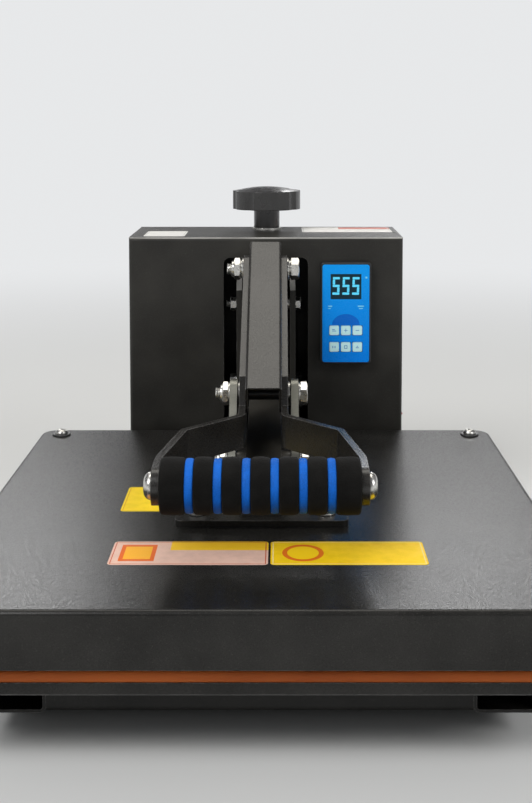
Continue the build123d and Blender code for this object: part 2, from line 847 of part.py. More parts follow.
# Bolts of the handle's pivot and of the knee, with their washers
knee_washer_thickness = link_inner - plate_outer - body_gap
pivot_nut_inner = plate_outer + pivot_washer_thickness
for name, place, half in (
    ("handle_pivot_bolt", handle_pivot, pivot_nut_inner + pivot_nut_height + thread_end),
    ("knee_bolt", knee, plate_outer + knee_washer_thickness),
):
    with BuildPart() as pivot_bolt:
        with BuildSketch(Plane.YZ.offset(-half)):
            with Locations(place):
                Circle(pivot_diameter / 2)
        extrude(amount=2 * half)
        chamfer(pivot_bolt.edges().filter_by(GeomType.CIRCLE), 1)
    save(pivot_bolt, name)

with BuildPart() as pivot_washers:
    for place, thickness in (
        (handle_pivot, pivot_washer_thickness),
        (knee, knee_washer_thickness),
    ):
        for side in (-1, 1):
            with BuildSketch(Plane.YZ.offset(side * plate_outer)):
                with Locations(place):
                    Circle(pivot_washer_diameter / 2)
                    Circle(pivot_diameter / 2, mode=Mode.SUBTRACT)
            extrude(amount=side * thickness)
save(pivot_washers, "pivot_washers")

with BuildPart() as pivot_nuts:
    for side in (-1, 1):
        with BuildSketch(Plane.YZ.offset(side * pivot_nut_inner)):
            with Locations(handle_pivot):
                RegularPolygon(pivot_flats / 2, 6, major_radius=False)
                Circle(pivot_diameter / 2, mode=Mode.SUBTRACT)
        extrude(amount=side * pivot_nut_height)
save(pivot_nuts, "pivot_nuts")

# Toggle links from the knee down to the beam
link_knee_radius = 12
link_foot_radius = 9.5
for side, name in ((-1, "link_left"), (1, "link_right")):
    with BuildPart() as link:
        with BuildSketch(Plane.YZ.offset(side * link_inner)):
            with BuildLine():
                Polyline(
                    *bar_corners(knee, link_foot, link_knee_radius, link_foot_radius),
                    close=True,
                )
            make_face()
            with Locations(knee):
                Circle(link_knee_radius)
            with Locations(link_foot):
                Circle(link_foot_radius)
            with Locations(knee):
                Circle(pivot_diameter / 2, mode=Mode.SUBTRACT)
            with Locations(link_foot):
                Circle(pivot_diameter / 2 + running_gap, mode=Mode.SUBTRACT)
        extrude(amount=side * link_thickness)
    save(link, name)

# Outer ends of the knee's bolt, which turn with the links, each under its nut
with BuildPart() as knee_bolt_ends:
    for side in (-1, 1):
        with BuildSketch(Plane.YZ.offset(side * link_inner)):
            with Locations(knee):
                Circle(pivot_diameter / 2)
        extrude(amount=side * (link_thickness + pivot_nut_height + thread_end))
        with BuildSketch(Plane.YZ.offset(side * link_outer)):
            with Locations(knee):
                RegularPolygon(pivot_flats / 2, 6, major_radius=False)
        extrude(amount=side * pivot_nut_height)
save(knee_bolt_ends, "knee_bolt_ends")

# Bolt through the beam's boss that the links turn on
foot_nut_inner = link_outer + body_gap
foot_bolt_half = foot_nut_inner + pivot_nut_height + thread_end / 2
with BuildPart() as link_foot_bolt:
    with BuildSketch(Plane.YZ.offset(-foot_bolt_half)):
        with Locations(link_foot):
            Circle(pivot_diameter / 2)
    extrude(amount=2 * foot_bolt_half)
    for side in (-1, 1):
        with BuildSketch(Plane.YZ.offset(side * foot_nut_inner)):
            with Locations(link_foot):
                RegularPolygon(pivot_flats / 2, 6, major_radius=False)
        extrude(amount=side * pivot_nut_height)
save(link_foot_bolt, "link_foot_bolt")

# Controller: a dark housing on the box's face, a blue panel, a window and six keys
controller_x = 72.5
controller_z = cover_top + 104
controller_proud = 10
controller_corner = 3
panel_width = 42.4
panel_height = 89
panel_corner = 2
panel_thickness = 0.8
panel_proud = 0.4
housing_rim = 1.7
housing_lip = 3
housing_depth = 40
window_width = 27.8
window_height = 23
window_z = controller_z + 24.5
key_side = 8.6
key_pitch_x = 10.5
key_pitch_z = 15.2
key_depth = 2.4
key_proud = 0.4
key_travel = 0.5
key_z = controller_z - 23
controller_width = panel_width + 2 * housing_rim
controller_height = panel_height + 2 * housing_rim
housing_front = box_front - controller_proud
panel_front = housing_front - panel_proud
key_opening = key_side + 2 * body_gap
with BuildPart() as controller_housing:
    with BuildSketch(Plane.XZ.offset(-box_front)):
        with Locations((controller_x, controller_z)):
            RectangleRounded(controller_width, controller_height, controller_corner)
    extrude(amount=controller_proud)
    fillet(controller_housing.edges().group_by(Axis.Y)[0], 1)
    with BuildSketch(Plane.XZ.offset(-housing_front)):
        with Locations((controller_x, controller_z)):
            RectangleRounded(panel_width, panel_height, panel_corner)
    extrude(amount=-(panel_thickness - panel_proud), mode=Mode.SUBTRACT)
    with BuildSketch(Plane.XZ.offset(-housing_front)):
        with Locations((controller_x, key_z)):
            with GridLocations(key_pitch_x, key_pitch_z, 3, 2):
                Rectangle(key_opening, key_opening)
    extrude(amount=-(key_depth + key_travel + body_gap), mode=Mode.SUBTRACT)
    with BuildSketch(Plane.XZ.offset(-box_front)):
        with Locations((controller_x, controller_z)):
            Rectangle(controller_width - 2 * housing_lip, controller_height - 2 * housing_lip)
    extrude(amount=-housing_depth)
save(controller_housing, "controller_housing")

with BuildPart() as controller_panel:
    with BuildSketch(Plane.XZ.offset(-panel_front)):
        with Locations((controller_x, controller_z)):
            RectangleRounded(panel_width, panel_height, panel_corner)
        with Locations((controller_x, window_z)):
            Rectangle(window_width, window_height, mode=Mode.SUBTRACT)
        with Locations((controller_x, key_z)):
            with GridLocations(key_pitch_x, key_pitch_z, 3, 2):
                Rectangle(key_opening, key_opening, mode=Mode.SUBTRACT)
    extrude(amount=-panel_thickness)
save(controller_panel, "controller_panel")

with BuildPart() as display_window:
    with BuildSketch(Plane.XZ.offset(-panel_front)):
        with Locations((controller_x, window_z)):
            Rectangle(window_width, window_height)
    extrude(amount=-panel_thickness)
save(display_window, "display_window")

key_number = 0
for row in (1, -1):
    for column in (-1, 0, 1):
        key_number += 1
        with BuildPart() as key:
            with BuildSketch(Plane.XZ.offset(key_proud - panel_front)):
                with Locations(
                    (controller_x + column * key_pitch_x, key_z + row * key_pitch_z / 2)
                ):
                    RectangleRounded(key_side, key_side, 1.2)
            extrude(amount=-(key_depth + key_proud))
        save(key, f"key_{key_number}")

# Control box: folded sheet, open behind and below, with the slot for the linkage
slot_top = box_top - slot_drop
switch_y = box_y
switch_z = rail_top + 62
switch_width = 22
switch_height = 30
slot_corner = 6
slot_foot = 12
fold_radius = 3
rod_hole_gap = 2
with BuildPart() as control_box:
    with BuildSketch(Plane.XY.offset(rail_top)):
        with Locations((0, box_y)):
            Rectangle(box_width, box_depth)
    extrude(amount=box_top - rail_top)
    front_edges = control_box.edges().group_by(Axis.Y)[0].filter_by(Axis.Z)
    top_edges = control_box.edges().group_by(Axis.Z)[-1].filter_by(Axis.X).sort_by(Axis.Y)[0]
    fillet(front_edges + ShapeList([top_edges]), fold_radius)
    box_open = [
        control_box.faces().sort_by(Axis.Z)[0],
        control_box.faces().sort_by(Axis.Y)[-1],
    ]
    offset(amount=-sheet, openings=box_open)
    with BuildSketch(Plane.XZ.offset(-box_front)):
        with Locations((0, (rail_top + slot_top) / 2)):
            RectangleRounded(slot_width, slot_top - rail_top, slot_corner)
        with Locations((0, rail_top)):
            Rectangle(slot_width, 2 * slot_foot)
        with Locations((controller_x, controller_z)):
            Rectangle(controller_width - 2 * housing_lip, controller_height - 2 * housing_lip)
    extrude(amount=-3 * sheet, mode=Mode.SUBTRACT)
    with BuildSketch(Plane.XY.offset(box_top)):
        with Locations((0, knob_y)):
            Circle(rod_diameter / 2 + rod_hole_gap)
    extrude(amount=-2 * sheet, mode=Mode.SUBTRACT)
    with BuildSketch(Plane.YZ.offset(box_width / 2)):
        with Locations((switch_y, switch_z)):
            Rectangle(switch_width, switch_height)
    extrude(amount=-2 * sheet, mode=Mode.SUBTRACT)
save(control_box, "control_box")

# Rear panel inside the box's back edge: louvres, and cut-outs for the inlet and the fuse
inlet_x = -70
inlet_z = rail_top + 40
inlet_width = 27
inlet_height = 20
fuse_x = inlet_x - 38
fuse_diameter = 12
louvre_count = 7
louvre_pitch = 11
louvre_length = 50
louvre_height = 4
louvre_spread = 150
louvre_z = box_top - 62
panel_clear = sheet + body_gap
rear_width = box_width - 2 * panel_clear
rear_height = box_top - panel_clear - rail_top
with BuildPart() as rear_panel:
    with BuildSketch(Plane.XZ.offset(sheet - box_rear)):
        with Locations((0, rail_top + rear_height / 2)):
            Rectangle(rear_width, rear_height)
        with Locations((inlet_x, inlet_z)):
            Rectangle(inlet_width, inlet_height, mode=Mode.SUBTRACT)
        with Locations((fuse_x, inlet_z)):
            Circle(fuse_diameter / 2, mode=Mode.SUBTRACT)
        with Locations((0, louvre_z)):
            with GridLocations(louvre_spread, louvre_pitch, 2, louvre_count):
                SlotOverall(louvre_length, louvre_height, mode=Mode.SUBTRACT)
    extrude(amount=-sheet)
save(rear_panel, "rear_panel")

# Mains inlet: a flanged socket with three blades
inlet_depth = 17
inlet_flange = 2.5
inlet_flange_width = 48
inlet_flange_height = 28
inlet_flange_corner = 5
inlet_side_wall = 1.5
inlet_end_wall = 2
blade_width = 2
blade_height = 4
blade_length = inlet_depth - 6
blade_pitch = 7
flange_front = box_rear + inlet_flange
with BuildPart() as mains_inlet:
    with BuildSketch(Plane.XZ.offset(-box_rear)):
        with Locations((inlet_x, inlet_z)):
            RectangleRounded(inlet_flange_width, inlet_flange_height, inlet_flange_corner)
    extrude(amount=-inlet_flange)
    with BuildSketch(Plane.XZ.offset(-box_rear)):
        with Locations((inlet_x, inlet_z)):
            Rectangle(inlet_width, inlet_height)
    extrude(amount=inlet_depth)
    with BuildSketch(Plane.XZ.offset(-flange_front)):
        with Locations((inlet_x, inlet_z)):
            Rectangle(inlet_width - 2 * inlet_side_wall, inlet_height - 2 * inlet_end_wall)
    extrude(amount=inlet_depth, mode=Mode.SUBTRACT)
    with BuildSketch(Plane.XZ.offset(inlet_depth - flange_front)):
        with Locations(
            (inlet_x - blade_pitch, inlet_z - blade_height / 2),
            (inlet_x, inlet_z + blade_height / 2),
            (inlet_x + blade_pitch, inlet_z - blade_height / 2),
        ):
            Rectangle(blade_width, blade_height)
    extrude(amount=-blade_length)
save(mains_inlet, "mains_inlet")

# Fuse holder beside the inlet
fuse_lip = 2
fuse_flange = 2
fuse_cap = 6
fuse_depth = 26
with BuildPart() as fuse_holder:
    with BuildSketch(Plane.XZ.offset(-box_rear)):
        with Locations((fuse_x, inlet_z)):
            Circle(fuse_diameter / 2 + fuse_lip)
    extrude(amount=-fuse_flange)
    with BuildSketch(Plane.XZ.offset(-box_rear - fuse_flange)):
        with Locations((fuse_x, inlet_z)):
            Circle(fuse_diameter / 2)
    extrude(amount=-fuse_cap)
    fillet(fuse_holder.edges().group_by(Axis.Y)[-1], 1.2)
    with BuildSketch(Plane.XZ.offset(-box_rear)):
        with Locations((fuse_x, inlet_z)):
            Circle(fuse_diameter / 2)
    extrude(amount=fuse_depth)
save(fuse_holder, "fuse_holder")

# Rocker switch in the right side
side_x = box_width / 2
bezel_proud = 2
bezel_lip = 2
bezel_wall = 3
bezel_depth = 20
rocker_well = 14
rocker_width = switch_width - 2 * bezel_wall
rocker_height = switch_height - 2 * bezel_wall
rocker_side_gap = 0.5
rocker_end_gap = 0.7
with BuildPart() as switch_bezel:
    with BuildSketch(Plane.YZ.offset(side_x)):
        with Locations((switch_y, switch_z)):
            RectangleRounded(switch_width + 2 * bezel_lip, switch_height + 2 * bezel_lip, 2)
    extrude(amount=bezel_proud)
    with BuildSketch(Plane.YZ.offset(side_x)):
        with Locations((switch_y, switch_z)):
            Rectangle(switch_width, switch_height)
    extrude(amount=-bezel_depth)
    with BuildSketch(Plane.YZ.offset(side_x + bezel_proud)):
        with Locations((switch_y, switch_z)):
            Rectangle(rocker_width + 2 * rocker_side_gap, rocker_height + 2 * rocker_end_gap)
    extrude(amount=-rocker_well, mode=Mode.SUBTRACT)
save(switch_bezel, "switch_bezel")

# The rocker rests tipped to its lower side and turns about its pin below the surface
rocker_tilt = 10
rocker_pin_depth = 4
rocker_tip = 7.6
rocker_inset = 0.9
rocker_dip = 6.2
rocker_shoulder = 8
rocker_heel = 3
rocker_plane = Plane(
    origin=(side_x - rocker_pin_depth, switch_y - rocker_width / 2, switch_z),
    x_dir=(cos(radians(rocker_tilt)), 0, sin(radians(rocker_tilt))),
    z_dir=(0, -1, 0),
)
with BuildPart() as power_rocker:
    with BuildSketch(rocker_plane):
        with BuildLine():
            face_arc = ThreePointArc(
                (rocker_tip, rocker_height / 2 - rocker_inset),
                (rocker_dip, 0),
                (rocker_tip, rocker_inset - rocker_height / 2),
            )
            Polyline(
                face_arc @ 1,
                (0, -rocker_shoulder),
                (-rocker_heel, 0),
                (0, rocker_shoulder),
                face_arc @ 0,
            )
        make_face()
    extrude(amount=-rocker_width)
save(power_rocker, "power_rocker")
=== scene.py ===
import json
import random
from math import cos, pi, radians, sin, tan

import bmesh
import bpy
from mathutils import Matrix, Vector


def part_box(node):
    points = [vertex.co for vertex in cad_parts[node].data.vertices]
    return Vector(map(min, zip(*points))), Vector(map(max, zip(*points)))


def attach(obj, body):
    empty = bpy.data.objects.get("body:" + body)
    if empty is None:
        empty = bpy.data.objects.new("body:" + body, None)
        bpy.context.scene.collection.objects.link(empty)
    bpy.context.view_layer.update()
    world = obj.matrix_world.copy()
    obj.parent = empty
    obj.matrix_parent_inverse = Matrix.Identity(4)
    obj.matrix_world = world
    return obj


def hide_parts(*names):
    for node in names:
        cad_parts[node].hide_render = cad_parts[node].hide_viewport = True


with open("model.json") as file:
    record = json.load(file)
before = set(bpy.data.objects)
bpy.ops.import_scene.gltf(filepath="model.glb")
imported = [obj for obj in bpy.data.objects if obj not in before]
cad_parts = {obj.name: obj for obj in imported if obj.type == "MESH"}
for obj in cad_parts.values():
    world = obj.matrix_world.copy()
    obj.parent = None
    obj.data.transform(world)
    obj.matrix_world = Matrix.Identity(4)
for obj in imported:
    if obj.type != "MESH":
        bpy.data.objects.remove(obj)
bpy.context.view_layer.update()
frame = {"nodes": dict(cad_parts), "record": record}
nodes = frame["nodes"]
scene = bpy.context.scene
MM = 0.001

# Camera. The photograph is a level view, cropped, with its vanishing point at pixel (279, 113).
# A small pitch takes up part of that shift, and place and lens are fitted to the level view's outlines.
IMAGE_HEIGHT = 803
FOCAL_PIXELS = 1204
SENSOR = 36.0
SHIFT_X = -0.0161
SHIFT_Y = -0.25
PITCH = radians(4.1)
CAMERA_PLACE = Vector((0.0119, -0.9385, 0.3858))


def make_camera():
    """A camera that looks level along +Y, tipped down a little so that less shift is needed."""
    camera_data = bpy.data.cameras.new("camera")
    camera_data.sensor_width = SENSOR
    camera_data.lens = FOCAL_PIXELS * SENSOR / IMAGE_HEIGHT
    camera_data.shift_x = SHIFT_X
    camera_data.shift_y = SHIFT_Y
    camera = bpy.data.objects.new("camera", camera_data)
    camera.location = CAMERA_PLACE
    camera.rotation_euler = (pi / 2 - PITCH, 0, 0)
    scene.collection.objects.link(camera)
    scene.camera = camera


make_camera()


# Materials
def feed(tree, node, inputs):
    """Set a node's inputs, by name or number, to plain values or link them to outputs."""
    for key, value in inputs.items():
        if isinstance(value, bpy.types.NodeSocket):
            tree.links.new(value, node.inputs[key])
        else:
            node.inputs[key].default_value = value


def add(tree, kind, inputs=None, **settings):
    """A new node with its settings and its inputs fed."""
    node = tree.nodes.new(kind)
    for key, value in settings.items():
        setattr(node, key, value)
    feed(tree, node, inputs or {})
    return node


def rgba(color):
    return (*color, 1.0)


finishes = {}


def new_material(name, color, roughness, metallic=0.0, specular=0.5, coat=0.0):
    """The node tree and shader of a new material, which is kept in finishes by its name."""
    material = finishes[name] = bpy.data.materials.new(name)
    material.use_nodes = True
    tree = material.node_tree
    shader = tree.nodes["Principled BSDF"]
    inputs = {"Base Color": rgba(color), "Roughness": roughness, "Metallic": metallic}
    feed(tree, shader, {**inputs, "Specular IOR Level": specular, "Coat Weight": coat})
    return tree, shader


def coordinates(tree, scale=(1, 1, 1)):
    place = add(tree, "ShaderNodeTexCoord").outputs["Object"]
    return add(tree, "ShaderNodeMapping", {"Vector": place, "Scale": scale}).outputs["Vector"]


def noise(tree, vector, scale, detail, roughness=0.5):
    inputs = {"Vector": vector, "Scale": scale, "Detail": detail, "Roughness": roughness}
    return add(tree, "ShaderNodeTexNoise", inputs).outputs["Fac"]


def spread(tree, value, low, high, new_low, new_high, **settings):
    """Stretch a value's range from low-high to new_low-new_high."""
    limits = {"From Min": low, "From Max": high, "To Min": new_low, "To Max": new_high}
    return add(tree, "ShaderNodeMapRange", {"Value": value, **limits}, **settings).outputs["Result"]


def cells(tree, vector, scale):
    """Outputs of a cell pattern."""
    return add(tree, "ShaderNodeTexVoronoi", {"Vector": vector, "Scale": scale}).outputs


def axes(tree, vector):
    """A vector's X, Y and Z."""
    return add(tree, "ShaderNodeSeparateXYZ", {"Vector": vector}).outputs


def vary(tree, value, low, high):
    """Stretch the usual range of a noise to low-high."""
    return spread(tree, value, 0.3, 0.7, low, high)


def patches(tree, cloud):
    """Soft patches between 0 and 1 from a noise."""
    return spread(tree, cloud, 0.35, 0.7, 0.0, 1.0)


def lighten(color, factor, lift):
    return tuple(min(1.0, c * factor + lift) for c in color)


def darken(color, factor):
    return tuple(c * factor for c in color)


def mix(tree, factor, first, second):
    """Mix two colours, each an RGB tuple or a socket, by a socket's value."""
    first, second = [rgba(c) if isinstance(c, tuple) else c for c in (first, second)]
    inputs = {"Factor": factor, 6: first, 7: second}
    return add(tree, "ShaderNodeMix", inputs, data_type="RGBA").outputs[2]


def calc(tree, operation, first, second=0.0):
    """The result of a sum on one or two numbers or sockets."""
    node = add(tree, "ShaderNodeMath", {0: first, 1: second}, operation=operation)
    return node.outputs["Value"]


def offset(tree, coordinate, center, half):
    """How far a coordinate lies from a centre, in half widths."""
    return calc(tree, "DIVIDE", calc(tree, "SUBTRACT", coordinate, center), half)


def sum_of_squares(tree, first, second):
    squares = [calc(tree, "MULTIPLY", side, side) for side in (first, second)]
    return calc(tree, "ADD", *squares)


def set_surface(tree, shader, base, gloss):
    """Feed a shader's colour and roughness."""
    feed(tree, shader, {"Base Color": base, "Roughness": gloss})


def bump(tree, shader, height, distance, strength, normal=None):
    inputs = {"Height": height, "Distance": distance, "Strength": strength}
    if normal is not None:
        inputs["Normal"] = normal
    feed(tree, shader, {"Normal": add(tree, "ShaderNodeBump", inputs).outputs["Normal"]})


def rounded_normal(tree, radius):
    """The surface's normal, as if its edges were rounded to a radius."""
    return add(tree, "ShaderNodeBevel", {"Radius": radius}, samples=4).outputs["Normal"]


def edge_mask(tree, rounded):
    """1 on edges, where the rounded normal leaves the true one, 0 on flat faces."""
    flat = add(tree, "ShaderNodeNewGeometry").outputs["Normal"]
    dot = add(tree, "ShaderNodeVectorMath", {0: rounded, 1: flat}, operation="DOT_PRODUCT")
    return spread(tree, dot.outputs["Value"], 0.99, 0.80, 0.0, 1.0)


def upper_bend(tree):
    """1 near the top of a bend from upright to level, 0 on level and upright faces."""
    slope = axes(tree, add(tree, "ShaderNodeNewGeometry").outputs["Normal"])["Z"]
    above = spread(tree, slope, 0.60, 0.80, 0.0, 1.0)
    below = spread(tree, slope, 0.995, 0.96, 0.0, 1.0)
    return calc(tree, "MULTIPLY", above, below)


PAINT_EDGE = 0.7 * MM
METAL_EDGE = 0.35 * MM
METAL_GRAIN = 0.02 * MM
SPECK_CELLS = 1500.0
# Pale edge colour: partly bare metal scuffed through the paint, partly painted highlight along the
# edges
EDGE_WEAR_AND_HIGHLIGHT_COLOR = (0.30, 0.29, 0.28)
# Colour of the painted highlight on the paint's upper bends
BEND_HIGHLIGHT_COLOR = (0.52, 0.51, 0.48)


def painted(
    name, color, roughness, speck, speck_share, grain, edge_wear_and_highlight, specular, depth=0.12, bend_highlight=0.0
):
    """Textured paint on metal, with pale specks and pale edges: bare metal scuffed through, and painted
    highlight.

    grain is the texture's scale and depth its height in millimetres. wear is how far the edges take on
    the pale colour, as scuffs and as painted highlight, and rubbed how bright the painted highlight on
    the paint's upper bends is.
    """
    tree, shader = new_material(name, color, roughness, specular=specular)
    vector = coordinates(tree)
    cloud = noise(tree, vector, 22.0, 4.0)
    fine = noise(tree, vector, grain, 2.0)
    grains = cells(tree, vector, SPECK_CELLS)
    near = spread(tree, grains["Distance"], 0.42, 0.22, 0.0, 1.0)
    chosen = add(tree, "ShaderNodeSeparateColor", {"Color": grains["Color"]}).outputs["Red"]
    picked = calc(tree, "LESS_THAN", chosen, speck_share)
    specks = calc(tree, "MULTIPLY", near, picked)
    base = mix(tree, patches(tree, cloud), color, lighten(color, 1.7, 0.004))
    speckled = mix(tree, specks, base, speck)
    rounded = rounded_normal(tree, PAINT_EDGE)
    # Edges lighten in patches towards the pale edge colour: partly bare metal scuffed through, partly
    # painted highlight.
    scraped = noise(tree, vector, 160.0, 5.0, 0.7)
    patchy = spread(tree, scraped, 0.62 - 0.2 * edge_wear_and_highlight, 0.72, 0.0, edge_wear_and_highlight)
    edge_wear_and_highlight_mask = calc(tree, "MULTIPLY", edge_mask(tree, rounded), patchy)
    final = mix(tree, edge_wear_and_highlight_mask, speckled, EDGE_WEAR_AND_HIGHLIGHT_COLOR)
    # Painted highlight: the paint's upper bends are lightened in streaked patches towards a pale metal
    # colour.
    if bend_highlight:
        highlight_streaks = spread(tree, noise(tree, vector, 35.0, 4.0), 0.25, 0.6, 0.5 * bend_highlight, bend_highlight)
        thin = calc(tree, "MULTIPLY", upper_bend(tree), highlight_streaks)
        final = mix(tree, thin, final, BEND_HIGHLIGHT_COLOR)
    set_surface(tree, shader, final, vary(tree, fine, roughness - 0.07, roughness + 0.09))
    bump(tree, shader, fine, depth * MM, 0.5, rounded)


def metal(name, color, roughness, scale, grain=(1, 1, 1), stain=0.25):
    """Bare metal with fine marks, drawn out along the axes where grain is small.

    scale is the marks' own, and stain how much darker the patches are.
    """
    tree, shader = new_material(name, color, roughness, metallic=1.0)
    vector = coordinates(tree, grain)
    marks = noise(tree, vector, scale, 4.0, 0.6)
    cloud = noise(tree, coordinates(tree), 45.0, 4.0, 0.6)
    base = mix(tree, patches(tree, cloud), color, darken(color, 1 - stain))
    set_surface(tree, shader, base, vary(tree, marks, roughness * 0.75, roughness * 1.35))
    bump(tree, shader, marks, METAL_GRAIN, 0.5, rounded_normal(tree, METAL_EDGE))


def moulded(name, color, roughness, grain=1400.0, depth=0.04, coat=0.0, variation=1.35, edge=0.4):
    """Moulded plastic or rubber with a fine even texture.

    grain is the texture's scale. depth, its height, and edge, the edges' radius, are in millimetres.
    """
    tree, shader = new_material(name, color, roughness, coat=coat)
    vector = coordinates(tree)
    fine = noise(tree, vector, grain, 2.0)
    cloud = noise(tree, vector, 60.0, 3.0)
    base = mix(tree, patches(tree, cloud), color, lighten(color, variation, 0.002))
    set_surface(tree, shader, base, vary(tree, cloud, roughness * 0.85, roughness * 1.15))
    bump(tree, shader, fine, depth * MM, 0.5, rounded_normal(tree, edge * MM))


def foam(name, color, roughness, sheen, cell=900.0, depth=0.25, specular=0.2):
    """Closed-cell foam: small dimples and a soft sheen."""
    tree, shader = new_material(name, color, roughness, specular=specular)
    vector = coordinates(tree)
    depths = cells(tree, vector, cell)["Distance"]
    cloud = noise(tree, vector, 90.0, 4.0)
    dimples = spread(tree, depths, 0.1, 0.7, 0.0, 0.6)
    mottled = mix(tree, dimples, color, darken(color, 0.55))
    faded = spread(tree, cloud, 0.4, 0.75, 0.0, 0.7)
    base = mix(tree, faded, mottled, lighten(color, 1.25, 0.003))
    feed(tree, shader, {"Base Color": base, "Sheen Weight": sheen, "Sheen Roughness": 0.6})
    height = calc(tree, "ADD", depths, calc(tree, "MULTIPLY", cloud, 0.6))
    bump(tree, shader, height, depth * MM, 0.6)


def make_silicone():
    """Silicone sheet: a little light passes into it, and its tone varies in wide patches."""
    tree, shader = new_material("orange_silicone", (0.46, 0.11, 0.018), 0.5, specular=0.2)
    depths = {"Subsurface Weight": 0.15, "Subsurface Radius": (0.004, 0.0015, 0.0006)}
    feed(tree, shader, depths)
    vector = coordinates(tree)
    cloud = noise(tree, vector, 14.0, 5.0)
    base = mix(tree, patches(tree, cloud), (0.48, 0.115, 0.020), (0.36, 0.078, 0.012))
    fine = noise(tree, vector, 1200.0, 2.0)
    set_surface(tree, shader, base, vary(tree, fine, 0.42, 0.62))
    bump(tree, shader, fine, 0.05 * MM, 0.5)


def make_wool():
    """Fibrous insulation with its fibres in layers."""
    tree, shader = new_material("ceramic_wool", (0.82, 0.80, 0.75), 0.95, specular=0.1)
    vector = coordinates(tree, (1, 1, 5))
    fibres = noise(tree, vector, 260.0, 8.0, 0.75)
    base = mix(tree, vary(tree, fibres, 0.0, 1.0), (0.66, 0.63, 0.57), (0.88, 0.86, 0.82))
    feed(tree, shader, {"Base Color": base, "Sheen Weight": 0.4})
    bump(tree, shader, fibres, 0.8 * MM, 0.8)


PANEL_LOW, PANEL_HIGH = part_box("controller_panel")
PANEL_MIDDLE = (PANEL_LOW + PANEL_HIGH) / 2
KEY_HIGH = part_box("key_3")[1]
ARCH_BASE = KEY_HIGH.z + 0.6 * MM
ARCH_HEIGHT = 10 * MM
ARCH_HALF_WIDTH = 12.5 * MM


def make_panel_film():
    """Blue printed film, deeper in tone towards its foot, with a darker arch above the keys."""
    tree, shader = new_material("blue_panel", (0.001, 0.28, 0.95), 0.38, specular=0.2)
    place = add(tree, "ShaderNodeTexCoord").outputs["Object"]
    split = axes(tree, place)
    fade = spread(tree, split["Z"], PANEL_LOW.z, PANEL_HIGH.z, 0.0, 1.0)
    base = mix(tree, fade, (0.0005, 0.235, 0.88), (0.0005, 0.36, 1.0))
    wide = offset(tree, split["X"], PANEL_MIDDLE.x, ARCH_HALF_WIDTH)
    high = offset(tree, split["Z"], ARCH_BASE, ARCH_HEIGHT)
    inside = calc(tree, "LESS_THAN", sum_of_squares(tree, wide, high), 1.0)
    upper = calc(tree, "GREATER_THAN", high, 0.0)
    printed = calc(tree, "MULTIPLY", calc(tree, "MULTIPLY", inside, upper), 0.7)
    final = mix(tree, printed, base, (0.002, 0.09, 0.55))
    fine = noise(tree, place, 1500.0, 2.0)
    set_surface(tree, shader, final, vary(tree, fine, 0.22, 0.34))
    bump(tree, shader, fine, 0.01 * MM, 0.4)


def make_display():
    """Dark glass over the display, with faint smudges."""
    tree, shader = new_material("display_glass", (0.002, 0.030, 0.045), 0.12, specular=0.2)
    vector = coordinates(tree)
    smudge = noise(tree, vector, 180.0, 5.0, 0.6)
    base = mix(tree, smudge, (0.001, 0.018, 0.032), (0.002, 0.034, 0.052))
    set_surface(tree, shader, base, spread(tree, smudge, 0.35, 0.7, 0.10, 0.20))


def make_digit_light():
    """The lit bars of the display's digits."""
    tree, shader = new_material("digit_light", (0.07, 0.45, 0.64), 0.5, specular=0.2)
    vector = coordinates(tree)
    glow = noise(tree, vector, 400.0, 2.0)
    base = mix(tree, glow, (0.06, 0.43, 0.64), (0.11, 0.55, 0.76))
    feed(tree, shader, {"Base Color": base, "Emission Color": base, "Emission Strength": 0.6})


# The cover's paint is darker than the box's: painted shade, for the cover's skirt that lies in shade.
painted(
    "black_powder_coat", (0.0095, 0.009, 0.008), 0.29, (0.055, 0.053, 0.047), speck_share=0.13,
    grain=2200.0, edge_wear_and_highlight=1.3, specular=0.28, depth=0.05,
)
# The box paint has a painted highlight along its upper bends, such as its top front edge.
painted(
    "box_powder_coat", (0.0155, 0.0145, 0.012), 0.40, (0.045, 0.044, 0.040), speck_share=0.13,
    grain=2400.0, edge_wear_and_highlight=1.1, specular=0.35, bend_highlight=0.75,
)
painted(
    "handle_paint", (0.0125, 0.0115, 0.010), 0.28, (0.05, 0.048, 0.042), speck_share=0.03,
    grain=1500.0, edge_wear_and_highlight=1.5, specular=0.5, depth=0.06,
)
metal("cast_aluminium", (0.72, 0.71, 0.69), 0.38, 120.0, (1, 12, 12))
metal("steel_plate", (0.26, 0.26, 0.27), 0.45, 90.0, (1, 14, 14), stain=0.4)
metal("zinc_plate", (0.76, 0.75, 0.71), 0.29, 500.0, stain=0.30)
moulded("dark_washer", (0.03, 0.03, 0.03), 0.35)
moulded("black_rubber", (0.018, 0.018, 0.018), 0.75, grain=900.0, depth=0.08)
moulded("knob_plastic", (0.016, 0.015, 0.014), 0.28, grain=1800.0, depth=0.02, coat=0.2, edge=1.3)
moulded("controller_plastic", (0.012, 0.013, 0.016), 0.42)
moulded("key_film", (0.64, 0.96, 1.0), 0.4, grain=1600.0, depth=0.01, variation=1.02)
moulded("red_rocker", (0.55, 0.015, 0.012), 0.22, grain=800.0, depth=0.01, coat=0.5, variation=1.15)
foam("black_foam", (0.0046, 0.0042, 0.0036), 0.9, sheen=0.03, specular=0.12)
foam("blue_foam", (0.002, 0.125, 0.58), 0.65, sheen=0.0, cell=1100.0, depth=0.12)
make_silicone()
make_wool()
make_panel_film()
make_display()
metal("link_steel", (0.30, 0.30, 0.265), 0.42, 140.0, (1, 6, 6), stain=0.3)
# A lighter copy of the handle paint: painted light on the press beam, which lies in shade under the
# channel.
painted(
    "beam_paint_with_painted_light", (0.024, 0.022, 0.018), 0.34, (0.05, 0.048, 0.042), speck_share=0.03,
    grain=1500.0, edge_wear_and_highlight=0.9, specular=0.45,
)
